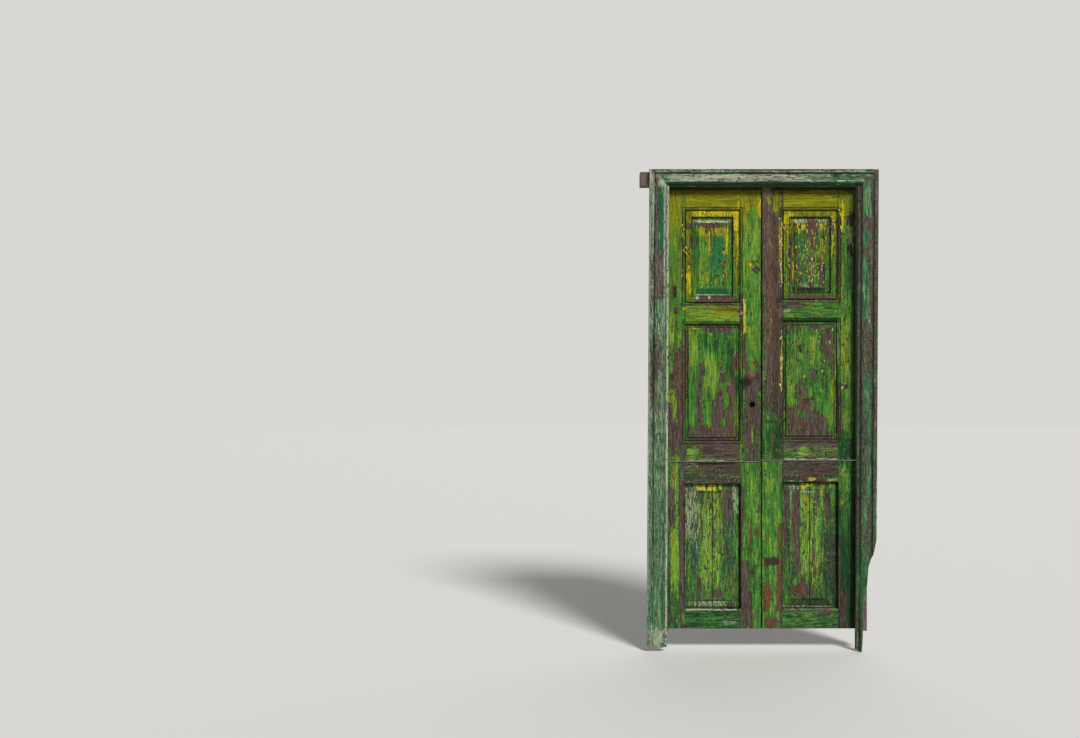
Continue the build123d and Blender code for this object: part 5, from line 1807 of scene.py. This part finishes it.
SURROUND = (
    (
        Board(
            "casing_left", UP, CASING_COAT, cover=(0.9, 0.85), pale=(0.14, 0.45), light=(0.0, 0.15),
            flake=0.7, lean=CASING_LEAN,
        ),
        CASING_LEFT_WEAR,
    ),
    (
        Board(
            "casing_right", UP, CASING_COAT, cover=(0.65, 0.42), pale=(0.0, 0.2), dark=(0.2, -0.1),
            red=(0.0, 0.3), flake=0.7, lean=CASING_LEAN,
        ),
        CASING_RIGHT_WEAR,
    ),
    (
        Board(
            "casing_head", LEVEL, CASING_COAT, cover=(0.85, 0.85), pale=(0.3, 0.3),
            light=(0.1, 0.1), flake=0.7,
        ),
        CASING_HEAD_WEAR,
    ),
    (
        Board(
            "cover_strip", UP, STRIP_COAT, cover=(0.42, 0.3), yellow=(0.15, 0.35), red=(0.15, 0.25),
            pale=(0.1, 0.2),
        ),
        STRIP_WEAR,
    ),
    (Board("post_left", UP, FRAME_COAT, cover=(0.2, 0.2)), {}),
    (Board("post_right", UP, FRAME_COAT, cover=(0.2, 0.2)), {}),
    (Board("frame_head", LEVEL, FRAME_COAT, cover=(0.05, 0.05)), {}),
)
NAILS = (
    Studs(
        "casing_nails", "frame", "old_iron", ("casing_left", "casing_right", "casing_head"),
        (
            (-487, 2060), (-489, 1650), (-492, 1240), (-494, 830), (-497, 420), (-499, 90),
            (494, 2060), (491, 1650), (489, 1240), (487, 830), (484, 420),
            (-330, 2133), (-110, 2133), (110, 2133), (330, 2133),
        ),
        3.2, 0.8,
    ),
    Studs(
        "cover_strip_nails", "upper_right_leaf", "old_iron", ("cover_strip",),
        ((26, 2060), (27, 1770), (25, 1480), (26, 1180), (26, 870)), 3.0, 0.8,
    ),
    Studs(
        "lock_screws", "upper_left_leaf", "old_iron", ("lock_case", "upper_left_link_bolt_base"),
        (
            (-74, 1034), (-74, 1110), (-13, 1034), (-13, 1110),
            (-64, 829), (-40, 829), (-64, 949), (-40, 949),
        ),
        3.2, 1.0, front=False, slotted=True,
    ),
    Studs(
        "bolt_screws", "upper_right_leaf", "old_iron",
        ("top_bolt_base", "upper_right_link_bolt_base"),
        (
            (40, 1950), (64, 1950), (40, 2070), (64, 2070),
            (40, 836), (64, 836), (40, 956), (64, 956),
        ),
        3.2, 1.0, front=False, slotted=True,
    ),
    Studs(
        "foot_bolt_screws", "lower_right_leaf", "old_iron", ("foot_bolt_base",),
        ((40, 34), (64, 34), (40, 154), (64, 154)), 3.2, 1.0, front=False, slotted=True,
    ),
)


def main() -> None:
    """Dress every piece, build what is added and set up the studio."""
    logging.basicConfig(level=logging.INFO, format="%(message)s")
    shop = Workshop()
    leaves = (LEFT_UPPER, RIGHT_UPPER, LEFT_LOWER, RIGHT_LOWER)
    for leaf in leaves:
        leaf.dress(shop)
    for board, wear in SURROUND:
        dress(board.node, shop.board(board, wear, ()))
    painted = {node for leaf in leaves for node in leaf.nodes()}
    painted |= {board.node for board, _ in SURROUND}
    for node in sorted(set(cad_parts) - painted):
        dress(node, shop.iron())
    for leaf in leaves:
        leaf.build_flakes(shop)
    for leaf in leaves:
        leaf.build_pegs(shop)
    for studs in NAILS:
        studs.build(shop.iron())
    Studio().build()


if __name__ == "__main__":
    main()
